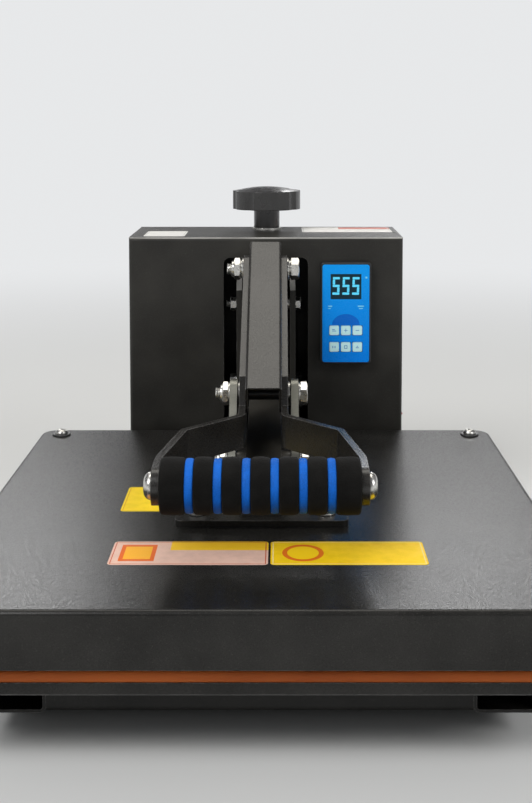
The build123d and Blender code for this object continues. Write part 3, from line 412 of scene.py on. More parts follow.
# A darker, duller copy of the handle paint: its darker colour is painted shade on the adjuster lever.
painted(
    "lever_paint_with_painted_shade", (0.010, 0.0095, 0.0085), 0.52, (0.04, 0.038, 0.034), speck_share=0.03,
    grain=1500.0, edge_wear_and_highlight=0.6, specular=0.12,
)
make_digit_light()

slots = {part["node"]: part["material_slot"] for part in frame["record"]["subparts"]}
# Nodes that look different from their slot: the links are bare steel, the beam's paint is lighter as
# painted light, and the adjuster lever and the knee bolt are darker as painted shade
OWN_FINISH = {
    "link_left": "link_steel",
    "link_right": "link_steel",
    "press_beam": "beam_paint_with_painted_light",
    "adjuster_lever": "lever_paint_with_painted_shade",
    # The knee bolt takes the dark washer finish as painted shade: it lies in shade under the channel.
    "knee_bolt": "dark_washer",
}
for name, node in nodes.items():
    node.data.materials.clear()
    node.data.materials.append(finishes[OWN_FINISH.get(name, slots[name])])


# Mesh helpers
def new_object(name, mesh, finish):
    piece = bpy.data.objects.new(name, mesh)
    scene.collection.objects.link(piece)
    mesh.materials.append(finishes[finish])
    return piece


def finish_mesh(bm, name, body, slot, smooth_angle=35.0, finish=None):
    """Turn a bmesh into a piece that rides on a body, in its slot's finish unless given another."""
    bmesh.ops.remove_doubles(bm, verts=bm.verts, dist=1e-7)
    bmesh.ops.recalc_face_normals(bm, faces=bm.faces)
    for face in bm.faces:
        face.smooth = True
    for edge in bm.edges:
        if len(edge.link_faces) == 2:
            edge.smooth = edge.calc_face_angle(0.0) < radians(smooth_angle)
    mesh = bpy.data.meshes.new(name)
    bm.to_mesh(mesh)
    bm.free()
    piece = new_object(name, mesh, finish or slot)
    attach(piece, body)
    return piece


def bridge(bm, first, second):
    """A band of faces between two rings of as many points."""
    for i in range(len(first)):
        j = (i + 1) % len(first)
        bm.faces.new((first[i], first[j], second[j], second[i]))


def skin(bm, rings):
    """Bands between rings that lie one above another, with a flat face at each end."""
    for lower, upper in zip(rings, rings[1:]):
        bridge(bm, lower, upper)
    bm.faces.new(list(reversed(rings[0])))
    bm.faces.new(rings[-1])


CORNER_STEPS = 8


def rounded_rectangle(half_x, half_y, corner):
    """Points (x, y) round a rectangle about the origin, with its corners rounded."""
    points = []
    for quarter, (side_x, side_y) in enumerate(((1, 1), (-1, 1), (-1, -1), (1, -1))):
        for k in range(CORNER_STEPS + 1):
            angle = pi / 2 * (quarter + k / CORNER_STEPS)
            x = side_x * (half_x - corner) + corner * cos(angle)
            y = side_y * (half_y - corner) + corner * sin(angle)
            points.append((x, y))
    return points


def add_lathe(bm, profile, matrix, segments=48):
    """Turn a closed profile of (radius, height) points about the matrix's Z axis."""
    angles = [2 * pi * i / segments for i in range(segments)]
    rings = []
    for radius, height in profile:
        if radius < 1e-9:
            points = [Vector((0, 0, height))]
        else:
            points = [Vector((radius * cos(a), radius * sin(a), height)) for a in angles]
        rings.append([bm.verts.new(matrix @ point) for point in points])
    for low, high in zip(rings, rings[1:] + rings[:1]):
        if len(low) > 1 and len(high) > 1:
            bridge(bm, low, high)
        elif len(high) > 1:
            for i in range(segments):
                bm.faces.new((low[0], high[i], high[(i + 1) % segments]))
        elif len(low) > 1:
            for i in range(segments):
                bm.faces.new((low[(i + 1) % segments], low[i], high[0]))


HEAD_STEPS = 72
CHAMFER_START = 0.94
CHAMFER_ANGLE = radians(30)


def add_turned(bm, matrix, column_at, closed):
    """A form given by its column of (radius, height) points at each angle round the Z axis.

    Closed columns make a ring. Open ones are capped by a flat face at each end.
    """
    columns = []
    for i in range(HEAD_STEPS):
        angle = 2 * pi * i / HEAD_STEPS
        direction = Vector((cos(angle), sin(angle), 0))
        points = [direction * radius + Vector((0, 0, height)) for radius, height in column_at(angle)]
        columns.append([bm.verts.new(matrix @ point) for point in points])
    count = len(columns[0])
    for i in range(HEAD_STEPS):
        here, there = columns[i], columns[(i + 1) % HEAD_STEPS]
        for k in range(count if closed else count - 1):
            m = (k + 1) % count
            bm.faces.new((here[k], there[k], there[m], here[m]))
    if not closed:
        bm.faces.new([column[-1] for column in columns])
        bm.faces.new([column[0] for column in reversed(columns)])


def hexagon(angle, flats):
    """A hexagon's radius at an angle, and how far its turned chamfer falls there."""
    corner = flats / 2 / cos((angle + pi / 6) % (pi / 3) - pi / 6)
    drop = max(0.0, (corner - flats / 2 * CHAMFER_START) * tan(CHAMFER_ANGLE))
    return corner, drop


# The collar's outline, in shares of the nut's half width and of the collar's height
COLLAR_OUTLINE = ((0.86, 0.0), (0.84, 0.8), (0.78, 1.0))


def add_nut(bm, matrix, flats, bore, height, collar=0.0):
    """A hexagon nut with turned chamfers on both faces, and a round collar if asked."""
    apothem = flats / 2
    turned = apothem * CHAMFER_START

    def column(angle):
        corner, drop = hexagon(angle, flats)
        points = [(bore / 2, 0), (turned, 0), (corner, drop), (corner, height - drop), (turned, height)]
        if collar > 0:
            points += [(apothem * out, height + collar * up) for out, up in COLLAR_OUTLINE]
        points.append((bore / 2, height + collar))
        return points

    add_turned(bm, matrix, column, closed=True)


DISH_RIM = 0.80
DISH_FLOOR = 0.72
DISH_DEPTH = 0.06


def add_hex_head(bm, matrix, flats, height, collar):
    """A bolt's hexagon head on a round collar, with a turned chamfer and a shallow dish on top."""
    apothem = flats / 2
    turned = apothem * CHAMFER_START

    def column(angle):
        corner, drop = hexagon(angle, flats)
        return [
            (apothem, 0),
            (apothem, collar),
            (corner, collar),
            (corner, height - drop),
            (turned, height),
            (turned * DISH_RIM, height),
            (turned * DISH_FLOOR, height * (1 - DISH_DEPTH)),
        ]

    add_turned(bm, matrix, column, closed=False)


DOME_STEPS = 6
RIM_SHARE = 0.12
FOOT_SHARE = 0.97
DOME_TOP = 0.62
SOCKET_MOUTH = 1.03
SOCKET_CHAMFER = 0.93
SOCKET_FLOOR = 0.35


def add_button_head(bm, matrix, radius, height, socket):
    """A domed screw head with a hexagon socket in it, closed below."""

    def column(angle):
        corner = hexagon(angle, socket)[0]
        points = [(radius * FOOT_SHARE, 0), (radius, RIM_SHARE * height)]
        for k in range(1, DOME_STEPS + 1):
            turn = pi / 2 * k / DOME_STEPS
            across = radius - (radius - socket * DOME_TOP) * (1 - cos(turn))
            points.append((across, height * (RIM_SHARE + (1 - RIM_SHARE) * sin(turn))))
        points.append((corner * SOCKET_MOUTH, height))
        points += [(corner, height * share) for share in (SOCKET_CHAMFER, SOCKET_FLOOR)]
        return points

    add_turned(bm, matrix, column, closed=False)


# Threads, in shares of their pitch
THREAD_DEPTH = 0.45
RIDGE_AT = 0.1
GROOVE_AT = 0.55
TIP_LENGTH = 0.7
TIP_DEPTH = 0.36


def thread_profile(radius, start, end, pitch=1.25 * MM):
    """Outer profile of a threaded end, as (radius, height) points, with a chamfered tip."""
    turns = max(1, int((end - start) / pitch) - 1)
    points = []
    for k in range(turns):
        points.append((radius, start + (k + RIDGE_AT) * pitch))
        points.append((radius - THREAD_DEPTH * pitch, start + (k + GROOVE_AT) * pitch))
    points.append((radius, end - TIP_LENGTH * pitch))
    points.append((radius - TIP_DEPTH * pitch, end))
    return points


def add_bolt_end(bm, matrix, radius, start, end):
    """A solid threaded stub from start to end."""
    profile = [(0, start), *thread_profile(radius, start, end), (0, end)]
    add_lathe(bm, profile, matrix, 32)


WASHER_EDGE = 0.22


def washer_profile(inner, outer, start, thickness):
    """Profile of a washer with its outer edges broken."""
    edge = thickness * WASHER_EDGE
    return [
        (inner, start),
        (outer - edge, start),
        (outer, start + edge),
        (outer, start + thickness - edge),
        (outer - edge, start + thickness),
        (inner, start + thickness),
    ]


def add_box(bm, low, high):
    """A box between two corners."""
    made = bmesh.ops.create_cube(bm, size=1.0)
    low, high = Vector(low), Vector(high)
    size = high - low
    for vertex in made["verts"]:
        vertex.co = Vector([low[i] + (vertex.co[i] + 0.5) * size[i] for i in range(3)])


# Places read from the frame
def middle(node):
    low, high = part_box(node)
    return (low + high) / 2


def half_height(node):
    low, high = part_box(node)
    return (high.z - low.z) / 2


GRIP = middle("foam_grip")
GRIP_RADIUS = half_height("foam_grip")
GRIP_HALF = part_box("foam_grip")[1].x - GRIP.x
BAND_CROWN = 0.25 * MM
BAND_SHOULDER = 2.2 * MM
RING_CROWN = 0.2 * MM
RING_SHOULDER = 1.3 * MM
RING_RADIUS = half_height("grip_rings") - 0.45 * MM
RING_COUNT = 6
RING_WIDTH = 5.6 * MM
RING_PITCH = (2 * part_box("grip_rings")[1].x - RING_WIDTH) / (RING_COUNT - 1)
RING_FLOOR = GRIP_RADIUS - 3 * MM
CORE_RADIUS = half_height("grip_core")
GRIP_STEPS = 96
CROWN_STEPS = 6
BAND_STEPS = 5
RING_STEPS = 4
RIPPLE = 0.06 * MM
RIPPLE_DEPTH = 0.1 * MM
# Ripples along and across the grip, in radians per metre
FINE_WAVES = (310, 260)
WIDE_WAVES = (170, 330)
WIDE_SHARE = 0.6
RING_PLACES = [(k - (RING_COUNT - 1) / 2) * RING_PITCH for k in range(RING_COUNT)]
ALONG_X = Matrix(((0, 0, 1, 0), (1, 0, 0, 0), (0, 1, 0, 0), (0, 0, 0, 1)))


def rounded_band(start, end, radius, round_off, steps, crown):
    """Outer profile of one foam band: two rounded shoulders and a slight crown between."""
    shoulder = []
    for k in range(steps + 1):
        angle = pi / 2 * k / steps
        shoulder.append((radius - round_off * (1 - sin(angle)), round_off * (1 - cos(angle))))
    points = [(across, start + along) for across, along in shoulder]
    for k in range(1, CROWN_STEPS):
        share = k / CROWN_STEPS
        along = start + round_off + share * (end - start - 2 * round_off)
        points.append((radius + crown * sin(pi * share), along))
    return points + [(across, end - along) for across, along in reversed(shoulder)]


def make_foam_grip():
    """One foam sleeve: seven rounded bands with a groove for a ring between each two."""
    profile = []
    start = -GRIP_HALF
    for place in [*RING_PLACES, GRIP_HALF + RING_WIDTH / 2]:
        end = place - RING_WIDTH / 2
        outer_end = min(end, GRIP_HALF)
        radius = GRIP_RADIUS - BAND_CROWN
        profile += rounded_band(start, outer_end, radius, BAND_SHOULDER, BAND_STEPS, BAND_CROWN)
        if outer_end < GRIP_HALF - 1e-6:
            profile += [(RING_FLOOR, outer_end), (RING_FLOOR, outer_end + RING_WIDTH)]
        start = end + RING_WIDTH
    profile += [(CORE_RADIUS, GRIP_HALF), (CORE_RADIUS, -GRIP_HALF)]
    bm = bmesh.new()
    add_lathe(bm, profile, Matrix.Translation(GRIP) @ ALONG_X, GRIP_STEPS)
    wobble = random.Random(4)
    phases = [wobble.uniform(0, 2 * pi) for _ in range(3)]
    for vertex in bm.verts:
        out = Vector((0, vertex.co.y - GRIP.y, vertex.co.z - GRIP.z))
        if out.length > GRIP_RADIUS - 1.2 * MM:
            x = vertex.co.x
            ripple = sin(x * FINE_WAVES[0] + phases[0]) * sin(out.y * FINE_WAVES[1] + phases[1])
            ripple += WIDE_SHARE * sin(x * WIDE_WAVES[0] + out.z * WIDE_WAVES[1] + phases[2])
            vertex.co += out.normalized() * (ripple * RIPPLE - RIPPLE_DEPTH)
    grip = finish_mesh(bm, "grip_sleeve", "handle", "black_foam", 50.0)
    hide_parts("foam_grip")


def make_grip_rings():
    """Blue foam rings, a little below the bands beside them."""
    bm = bmesh.new()
    for place in RING_PLACES:
        start, end = place - RING_WIDTH / 2, place + RING_WIDTH / 2
        radius = RING_RADIUS - RING_CROWN
        profile = rounded_band(start, end, radius, RING_SHOULDER, RING_STEPS, RING_CROWN)
        profile += [(RING_FLOOR, end), (RING_FLOOR, start)]
        add_lathe(bm, profile, Matrix.Translation(GRIP) @ ALONG_X, GRIP_STEPS)
    rings = finish_mesh(bm, "grip_bands", "handle", "blue_foam", 50.0)
    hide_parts("grip_rings")


WAVE_COUNT = 5
# In radians per metre
WAVE_RANGE = (14, 34)
SLAB_CORNER = 8 * MM
SIDE_STEPS = 60
# How far the rings of points lie from the side, in edge widths, and at most, in half widths
FOOT_INSET = 0.6
FACE_INSETS = (1, 3, 8, 16, 30)
FACE_LIMIT = 0.8


def soft_slab(name, node, body, slot, edge, swell):
    """A soft sheet with rounded corners, an edge rounded by edge, and a face that waves by swell."""
    low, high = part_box(node)
    center = (low + high) / 2
    half = (high - low) / 2
    bm = bmesh.new()
    wave = random.Random(11)
    waves = []
    for _ in range(WAVE_COUNT):
        slopes = [wave.uniform(*WAVE_RANGE) for _ in range(2)]
        waves.append((*slopes, wave.uniform(0, 2 * pi)))
    outline = [Vector((x, y, 0)) for x, y in rounded_rectangle(half.x, half.y, SLAB_CORNER)]
    around = []
    for point, following in zip(outline, outline[1:] + outline[:1]):
        steps = SIDE_STEPS if (following - point).length > 4 * SLAB_CORNER else 1
        around += [point.lerp(following, i / steps) for i in range(steps)]

    def ring(inset, height, dip=0.0):
        """The outline drawn in by inset, at a height, sunk in waves that are up to dip deep."""
        made = []
        for point in around:
            across = point * max(0.0, 1 - inset / half.x)
            ripple = sum(sin(across.x * a + across.y * b + c) for a, b, c in waves) / WAVE_COUNT
            sunk = Vector((0, 0, height - dip * (0.5 + 0.5 * ripple)))
            made.append(bm.verts.new(center + across + sunk))
        return made

    rings = [ring(edge * FOOT_INSET, -half.z)]
    for k in range(1, 5):
        angle = -pi / 2 + pi * k / 5
        rings.append(ring(edge * (1 - cos(angle)), half.z * sin(angle)))
    for inset in FACE_INSETS:
        rings.append(ring(min(inset * edge, half.x * FACE_LIMIT), half.z, swell))
    skin(bm, rings)
    slab = finish_mesh(bm, name, body, slot, 60.0)
    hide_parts(node)
    return slab


make_foam_grip()
make_grip_rings()
pad = soft_slab("press_pad", "silicone_pad", "frame", "orange_silicone", 1.0 * MM, 0.1 * MM)
blanket = soft_slab("heat_blanket", "insulation_blanket", "press", "ceramic_wool", 2.5 * MM, 0.8 * MM)


def axis_matrix(center, side):
    """A matrix at a (Y, Z) pivot whose Z axis points sideways: to +X for side 1, to -X for side -1."""
    turn = Matrix(((0, 0, side, 0), (side, 0, 0, 0), (0, 1, 0, 0), (0, 0, 0, 1)))
    return Matrix.Translation((0, center.y, center.z)) @ turn


def finish_zinc(bm, name, body, *replaced):
    """A zinc-plated piece that rides on a body and stands for CAD nodes."""
    piece = finish_mesh(bm, name, body, "zinc_plate")
    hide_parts(*replaced)


NUT_SIDE = -1
PIVOT_FLATS = 17 * MM
PIVOT_BORE = 10 * MM
PIVOT_SEAT = 22 * MM
PIVOT_COLLAR = 2 * MM
HEAD_COLLAR = 0.8 * MM
WASHER_RADIUS = 10 * MM
PLAIN_WASHER = 1.7 * MM
SPRING_WASHER = 1.3 * MM
SPRING_WASHER_RADIUS = 8.2 * MM


def add_bolt_side(bm, matrix, side, seat, nut_height, collar, head_height, root, tip):
    """A lock nut on the bolt's threaded end, or on the other side the bolt's head."""
    place = matrix @ Matrix.Translation((0, 0, seat))
    if side == NUT_SIDE:
        add_nut(bm, place, PIVOT_FLATS, PIVOT_BORE, nut_height, collar)
        add_bolt_end(bm, matrix, PIVOT_BORE / 2, root, tip)
    else:
        add_hex_head(bm, place, PIVOT_FLATS, head_height, HEAD_COLLAR)
        add_bolt_end(bm, matrix, PIVOT_BORE / 2, root, seat)


def make_pivot_hardware():
    """Bolt, lock nut and washers of the handle's pivot, and the handle's washers at the knee."""
    center = middle("handle_pivot_bolt")
    bolt_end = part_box("handle_pivot_bolt")[1].x
    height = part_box("pivot_nuts")[1].x - PIVOT_SEAT
    bm = bmesh.new()
    for side in (-1, 1):
        matrix = axis_matrix(center, side)
        nut_height = height - PIVOT_COLLAR
        add_bolt_side(
            bm, matrix, side, PIVOT_SEAT, nut_height, PIVOT_COLLAR, height, root=0, tip=bolt_end
        )
    finish_zinc(bm, "pivot_bolt_and_nuts", "handle", "pivot_nuts", "handle_pivot_bolt")
    knee = middle("knee_bolt")
    knee_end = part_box("knee_bolt")[1].x
    plate_face = PIVOT_SEAT - PLAIN_WASHER - SPRING_WASHER
    washers = (
        (center, WASHER_RADIUS, plate_face, PLAIN_WASHER),
        (center, SPRING_WASHER_RADIUS, plate_face + PLAIN_WASHER, SPRING_WASHER),
        (knee, WASHER_RADIUS, plate_face, knee_end - plate_face),
    )
    bm = bmesh.new()
    for side in (-1, 1):
        for place, radius, start, thickness in washers:
            profile = washer_profile(PIVOT_BORE / 2, radius, start, thickness)
            add_lathe(bm, profile, axis_matrix(place, side))
    finish_zinc(bm, "pivot_washer_set", "handle", "pivot_washers")


FOOT_GAP = 0.3 * MM
LINK_WASHER = 1.2 * MM
LINK_WASHER_RADIUS = 9.5 * MM
LINK_NUT = 5.2 * MM
LINK_COLLAR = 1.6 * MM
LINK_HEAD = 6.4 * MM


def make_link_hardware():
    """Washers, lock nuts and bolt heads outside the links, at the knee and at the foot."""
    link_low, link_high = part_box("link_right")
    for node, body, gap, root in (
        ("knee_bolt_ends", "links", 0.0, link_low.x),
        ("link_foot_bolt", "press", FOOT_GAP, 0.0),
    ):
        center = middle(node)
        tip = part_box(node)[1].x
        start = link_high.x + gap
        seat = start + LINK_WASHER
        bm = bmesh.new()
        for side in (-1, 1):
            matrix = axis_matrix(center, side)
            profile = washer_profile(PIVOT_BORE / 2, LINK_WASHER_RADIUS, start, LINK_WASHER)
            add_lathe(bm, profile, matrix)
            add_bolt_side(bm, matrix, side, seat, LINK_NUT, LINK_COLLAR, LINK_HEAD, root, tip)
        finish_zinc(bm, node + "_detail", body, node)


def corner_places(node, half):
    """The four centres of round pieces of that half width at the corners of a node's box."""
    low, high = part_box(node)
    sides = (low.x + half, high.x - half)
    ends = (low.y + half, high.y - half)
    return [Vector((x, y, 0)) for x in sides for y in ends]


STUD_RADIUS = 3 * MM
STUD_FLATS = 10 * MM
STUD_WASHER = 6.5 * MM
STUD_NUT = 3.6 * MM
STUD_COLLAR = 1.4 * MM
FINE_PITCH = 1.0 * MM
SPACER_RADIUS = 7 * MM
SPACER_DROP = 1.5 * MM


def make_stud_hardware():
    """Platen studs with threaded ends, their washers and lock nuts on the mounting plate."""
    stud_low, stud_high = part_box("platen_studs")
    washer_low, washer_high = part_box("stud_washers")
    nut_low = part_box("stud_nuts")[0]
    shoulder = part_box("top_cover")[1].z - SPACER_DROP
    places = corner_places("platen_studs", SPACER_RADIUS)
    stud = [
        (0, stud_low.z),
        (SPACER_RADIUS, stud_low.z),
        (SPACER_RADIUS, shoulder),
        (STUD_RADIUS, shoulder),
        *thread_profile(STUD_RADIUS, washer_low.z, stud_high.z, FINE_PITCH),
        (0, stud_high.z),
    ]
    bm = bmesh.new()
    for place in places:
        add_lathe(bm, stud, Matrix.Translation(place), 40)
    finish_zinc(bm, "threaded_studs", "press", "platen_studs")
    bm = bmesh.new()
    turn = random.Random(8)
    for place in places:
        seat = Matrix.Translation(place + Vector((0, 0, nut_low.z)))
        matrix = seat @ Matrix.Rotation(turn.uniform(0, 1), 4, "Z")
        add_nut(bm, matrix, STUD_FLATS, 2 * STUD_RADIUS, STUD_NUT, STUD_COLLAR)
    finish_zinc(bm, "stud_lock_nuts", "press", "stud_nuts")
    thickness = washer_high.z - washer_low.z
    washer = washer_profile(STUD_RADIUS, STUD_WASHER, washer_low.z, thickness)
    bm = bmesh.new()
    for place in places:
        add_lathe(bm, washer, Matrix.Translation(place))
    finish_zinc(bm, "stud_washer_set", "press", "stud_washers")


SCREW_HEAD = 5.5 * MM
SCREW_SHANK = 2.5 * MM
SCREW_SOCKET = 3.2 * MM


def make_cover_screws():
    """Domed socket screws at the cover's corners."""
    low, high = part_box("cover_screws")
    head_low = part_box("cover_washers")[1].z
    shank = [(0, low.z), (SCREW_SHANK, low.z), (SCREW_SHANK, head_low), (0, head_low)]
    bm = bmesh.new()
    for place in corner_places("cover_screws", SCREW_HEAD):
        seat = Matrix.Translation(place + Vector((0, 0, head_low)))
        add_button_head(bm, seat, SCREW_HEAD, high.z - head_low, SCREW_SOCKET)
        add_lathe(bm, shank, Matrix.Translation(place), 24)
    finish_zinc(bm, "domed_cover_screws", "press", "cover_screws")


GRIP_SOCKET = 6 * MM
GRIP_SHANK = 4 * MM
GRIP_SHANK_LENGTH = 18 * MM


def make_grip_bolts():
    """Domed socket bolts at the ends of the grip, with their shanks in the fork."""
    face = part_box("handle_plate_right")[1].x
    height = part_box("grip_bolts")[1].x - face
    start = face - GRIP_SHANK_LENGTH
    shank = [(0, start), (GRIP_SHANK, start), (GRIP_SHANK, face), (0, face)]
    bm = bmesh.new()
    for side in (-1, 1):
        matrix = axis_matrix(GRIP, side)
        seat = matrix @ Matrix.Translation((0, 0, face))
        add_button_head(bm, seat, half_height("grip_bolts"), height, GRIP_SOCKET)
        add_lathe(bm, shank, matrix, 32)
    finish_zinc(bm, "domed_grip_bolts", "handle", "grip_bolts")


PIN_FLATS = 11 * MM
PIN_NUT = 6 * MM
PIN_HEAD = 5 * MM
PIN_COLLAR = 0.6 * MM
PIN_RADIUS = 6 * MM
PIN_THREAD = 3 * MM
AXLE_FLATS = 30 * MM
AXLE_BORE = 20 * MM
AXLE_NUT = 7 * MM


def make_upright_hardware():
    """Nuts, head and threaded pin at the uprights, seen through the slot."""
    pin = middle("lever_pin")
    pin_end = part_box("lever_pin")[1].x
    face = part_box("rod_bridge")[1].x
    bm = bmesh.new()
    for side in (-1, 1):
        seat = axis_matrix(pin, side) @ Matrix.Translation((0, 0, face))
        if side == NUT_SIDE:
            add_nut(bm, seat, PIN_FLATS, 2 * PIN_THREAD, PIN_NUT)
        else:
            add_hex_head(bm, seat, PIN_FLATS, PIN_HEAD, PIN_COLLAR)
    axle_seat = axis_matrix(middle("hinge_axle"), 1) @ Matrix.Translation((0, 0, face))
    add_nut(bm, axle_seat, AXLE_FLATS, AXLE_BORE, AXLE_NUT)
    finish_zinc(bm, "upright_nut_set", "frame", "upright_nuts")
    bm = bmesh.new()
    for side in (-1, 1):
        profile = [(0, 0), (PIN_RADIUS, 0), (PIN_RADIUS, face)]
        if side == NUT_SIDE:
            profile += thread_profile(PIN_THREAD, face, pin_end, FINE_PITCH)
            profile.append((0, pin_end))
        else:
            profile.append((0, face))
        add_lathe(bm, profile, axis_matrix(pin, side), 32)
    finish_zinc(bm, "threaded_lever_pin", "frame", "lever_pin")


make_pivot_hardware()
make_link_hardware()
make_stud_hardware()
make_cover_screws()
make_grip_bolts()
make_upright_hardware()


# Labels: plain coloured film with rounded corners, on the cover and on the box
BORDER_INSET = 1.6 * MM
BORDER_HALF_WIDTH = 0.35 * MM
MARK_OUTLINE = 0.76
LABEL_THICKNESS = 0.15 * MM
LABEL_CORNER = 3 * MM
LABEL_BEVEL = 0.08 * MM


def make_label_material(name, color, border, band, mark, center, half_x, half_y):
    """Printed film with a plain border line and, if asked, a plain band and a plain mark."""
    tree, shader = new_material(name, color, 0.6, specular=0.1)
    vector = add(tree, "ShaderNodeTexCoord").outputs["Object"]
    split = axes(tree, vector)
    scuff = noise(tree, vector, 130.0, 5.0, 0.6)
    faded = spread(tree, scuff, 0.4, 0.75, 0.0, 1.0)
    base = mix(tree, faded, color, darken(color, 0.86))
    if band is not None:
        tone, (start_x, start_y) = band
        right = calc(tree, "GREATER_THAN", split["X"], start_x)
        head = calc(tree, "GREATER_THAN", split["Y"], start_y)
        base = mix(tree, calc(tree, "MULTIPLY", right, head), base, tone)
    if mark is not None:
        shape, place, half, tone, fill = mark
        wide = offset(tree, split["X"], place[0], half[0])
        high = offset(tree, split["Y"], place[1], half[1])
        if shape == "ring":
            reach = calc(tree, "SQRT", sum_of_squares(tree, wide, high))
        else:
            sides = [calc(tree, "ABSOLUTE", side) for side in (wide, high)]
            reach = calc(tree, "MAXIMUM", *sides)
        base = mix(tree, calc(tree, "LESS_THAN", reach, 1.0), base, tone)
        base = mix(tree, calc(tree, "LESS_THAN", reach, MARK_OUTLINE), base, fill)
    gaps = []
    for coordinate, middle_value, half in (
        (split["X"], center.x, half_x),
        (split["Y"], center.y, half_y),
    ):
        away = calc(tree, "ABSOLUTE", calc(tree, "SUBTRACT", coordinate, middle_value))
        gaps.append(calc(tree, "SUBTRACT", half, away))
    line = calc(tree, "COMPARE", calc(tree, "MINIMUM", *gaps), BORDER_INSET)
    feed(tree, line.node, {2: BORDER_HALF_WIDTH})
    set_surface(tree, shader, mix(tree, line, base, border), vary(tree, scuff, 0.44, 0.58))


def make_label(name, low, high, carrier, color, border, band=None, mark=None):
    """A label between two (x, y) corners, on a carrier's height and body. The carrier's slot is not
    used.

    band is its tone and the (x, y) corner where it starts. mark is its shape, its centre, its half
    sizes, its outline's tone and its fill. All are in metres.
    """
    surface, body, slot = carrier
    center = Vector(((low[0] + high[0]) / 2, (low[1] + high[1]) / 2, surface))
    half_x, half_y = (high[0] - low[0]) / 2, (high[1] - low[1]) / 2
    make_label_material(name, color, border, band, mark, center, half_x, half_y)
    outline = [Vector((x, y, 0)) for x, y in rounded_rectangle(half_x, half_y, LABEL_CORNER)]
    bm = bmesh.new()
    rings = []
    for inset, share in ((0.0, 0.0), (0.0, 0.6), (LABEL_BEVEL, 1.0)):
        lift = Vector((0, 0, share * LABEL_THICKNESS))
        shrink = 1 - inset / half_y
        rings.append([bm.verts.new(center + point * shrink + lift) for point in outline])
    skin(bm, rings)
    finish_mesh(bm, name, body, slot, 30.0, name)


ON_COVER = (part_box("top_cover")[1].z, "press", "black_powder_coat")
ON_BOX = (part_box("control_box")[1].z, "frame", "box_powder_coat")
make_label(
    "label_front_left", low=(-0.097, -0.1965), high=(0.005, -0.155), carrier=ON_COVER,
    color=(0.76, 0.50, 0.40), border=(0.52, 0.10, 0.04),
    band=((0.90, 0.55, 0.02), (-0.059, -0.171)),
    mark=("square", (-0.0795, -0.1757), (0.0115, 0.0145), (0.72, 0.13, 0.015), (0.88, 0.42, 0.02)),
)
make_label(
    "label_front_right", low=(0.0065, -0.1965), high=(0.107, -0.155), carrier=ON_COVER,
    color=(0.92, 0.60, 0.008), border=(0.85, 0.70, 0.30),
    mark=("ring", (0.0275, -0.1757), (0.0135, 0.0150), (0.72, 0.16, 0.01), (0.92, 0.60, 0.008)),
)
make_label(
    "label_side", low=(-0.102, -0.0936), high=(-0.064, -0.0375), carrier=ON_COVER,
    color=(0.88, 0.62, 0.01), border=(0.62, 0.36, 0.01),
)
make_label(
    "label_box_left", low=(-0.113, 0.1635), high=(-0.075, 0.2115), carrier=ON_BOX,
    color=(0.74, 0.73, 0.70), border=(0.55, 0.54, 0.52),
)
make_label(
    "label_box_right", low=(0.034, 0.203), high=(0.120, 0.250), carrier=ON_BOX,
    color=(0.76, 0.74, 0.71), border=(0.55, 0.54, 0.52),
    band=((0.60, 0.22, 0.18), (0.070, 0.232)),
)


# Display digits: plain fives, each drawn as five bars
DISPLAY_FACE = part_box("display_window")[0].y
DIGIT_MIDDLE = middle("display_window")
DIGIT_COUNT = 3
DIGIT_WIDTH = 4.2 * MM
DIGIT_HEIGHT = 14.0 * MM
DIGIT_PITCH = 8.9 * MM
DIGIT_SLANT = 0.03
DIGIT_RISE = 0.7 * MM
STROKE = 2.1 * MM
STROKE_BLUNT = 0.18 * STROKE
SEGMENT_GAP = 0.3 * MM
DIGIT_LIFT = 0.12 * MM


def add_segment(bm, center_x, center_z, length, upright):
    """One bar of a digit with blunted corners, raised a little from the display's face."""
    half, side, blunt = length / 2, STROKE / 2, STROKE_BLUNT
    outline = (
        (-half, side - blunt),
        (-half + blunt, side),
        (half - blunt, side),
        (half, side - blunt),
        (half, blunt - side),
        (half - blunt, -side),
        (blunt - half, -side),
        (-half, blunt - side),
    )
    front, back = [], []
    for along, across in outline:
        z = center_z + (along if upright else across)
        x = center_x + (across if upright else along)
        x += (z - DIGIT_MIDDLE.z) * DIGIT_SLANT
        front.append(bm.verts.new((x, DISPLAY_FACE - DIGIT_LIFT, z)))
        back.append(bm.verts.new((x, DISPLAY_FACE, z)))
    bm.faces.new(front)
    bm.faces.new(list(reversed(back)))
    bridge(bm, front, back)


def make_digits():
    wide, high = DIGIT_WIDTH + STROKE, DIGIT_HEIGHT / 2 - STROKE - SEGMENT_GAP
    bars = (
        (0, DIGIT_HEIGHT / 2, wide, False),
        (-DIGIT_WIDTH / 2, DIGIT_HEIGHT / 4, high, True),
        (0, 0, wide, False),
        (DIGIT_WIDTH / 2, -DIGIT_HEIGHT / 4, high, True),
        (0, -DIGIT_HEIGHT / 2, wide, False),
    )
    bm = bmesh.new()
    for number in range(DIGIT_COUNT):
        x = DIGIT_MIDDLE.x + (number - (DIGIT_COUNT - 1) / 2) * DIGIT_PITCH
        z = DIGIT_MIDDLE.z + DIGIT_RISE
        for across, above, length, upright in bars:
            add_segment(bm, x + across, z + above, length, upright)
    finish_mesh(bm, "display_digits", "frame", "display_glass", finish="digit_light")


make_digits()


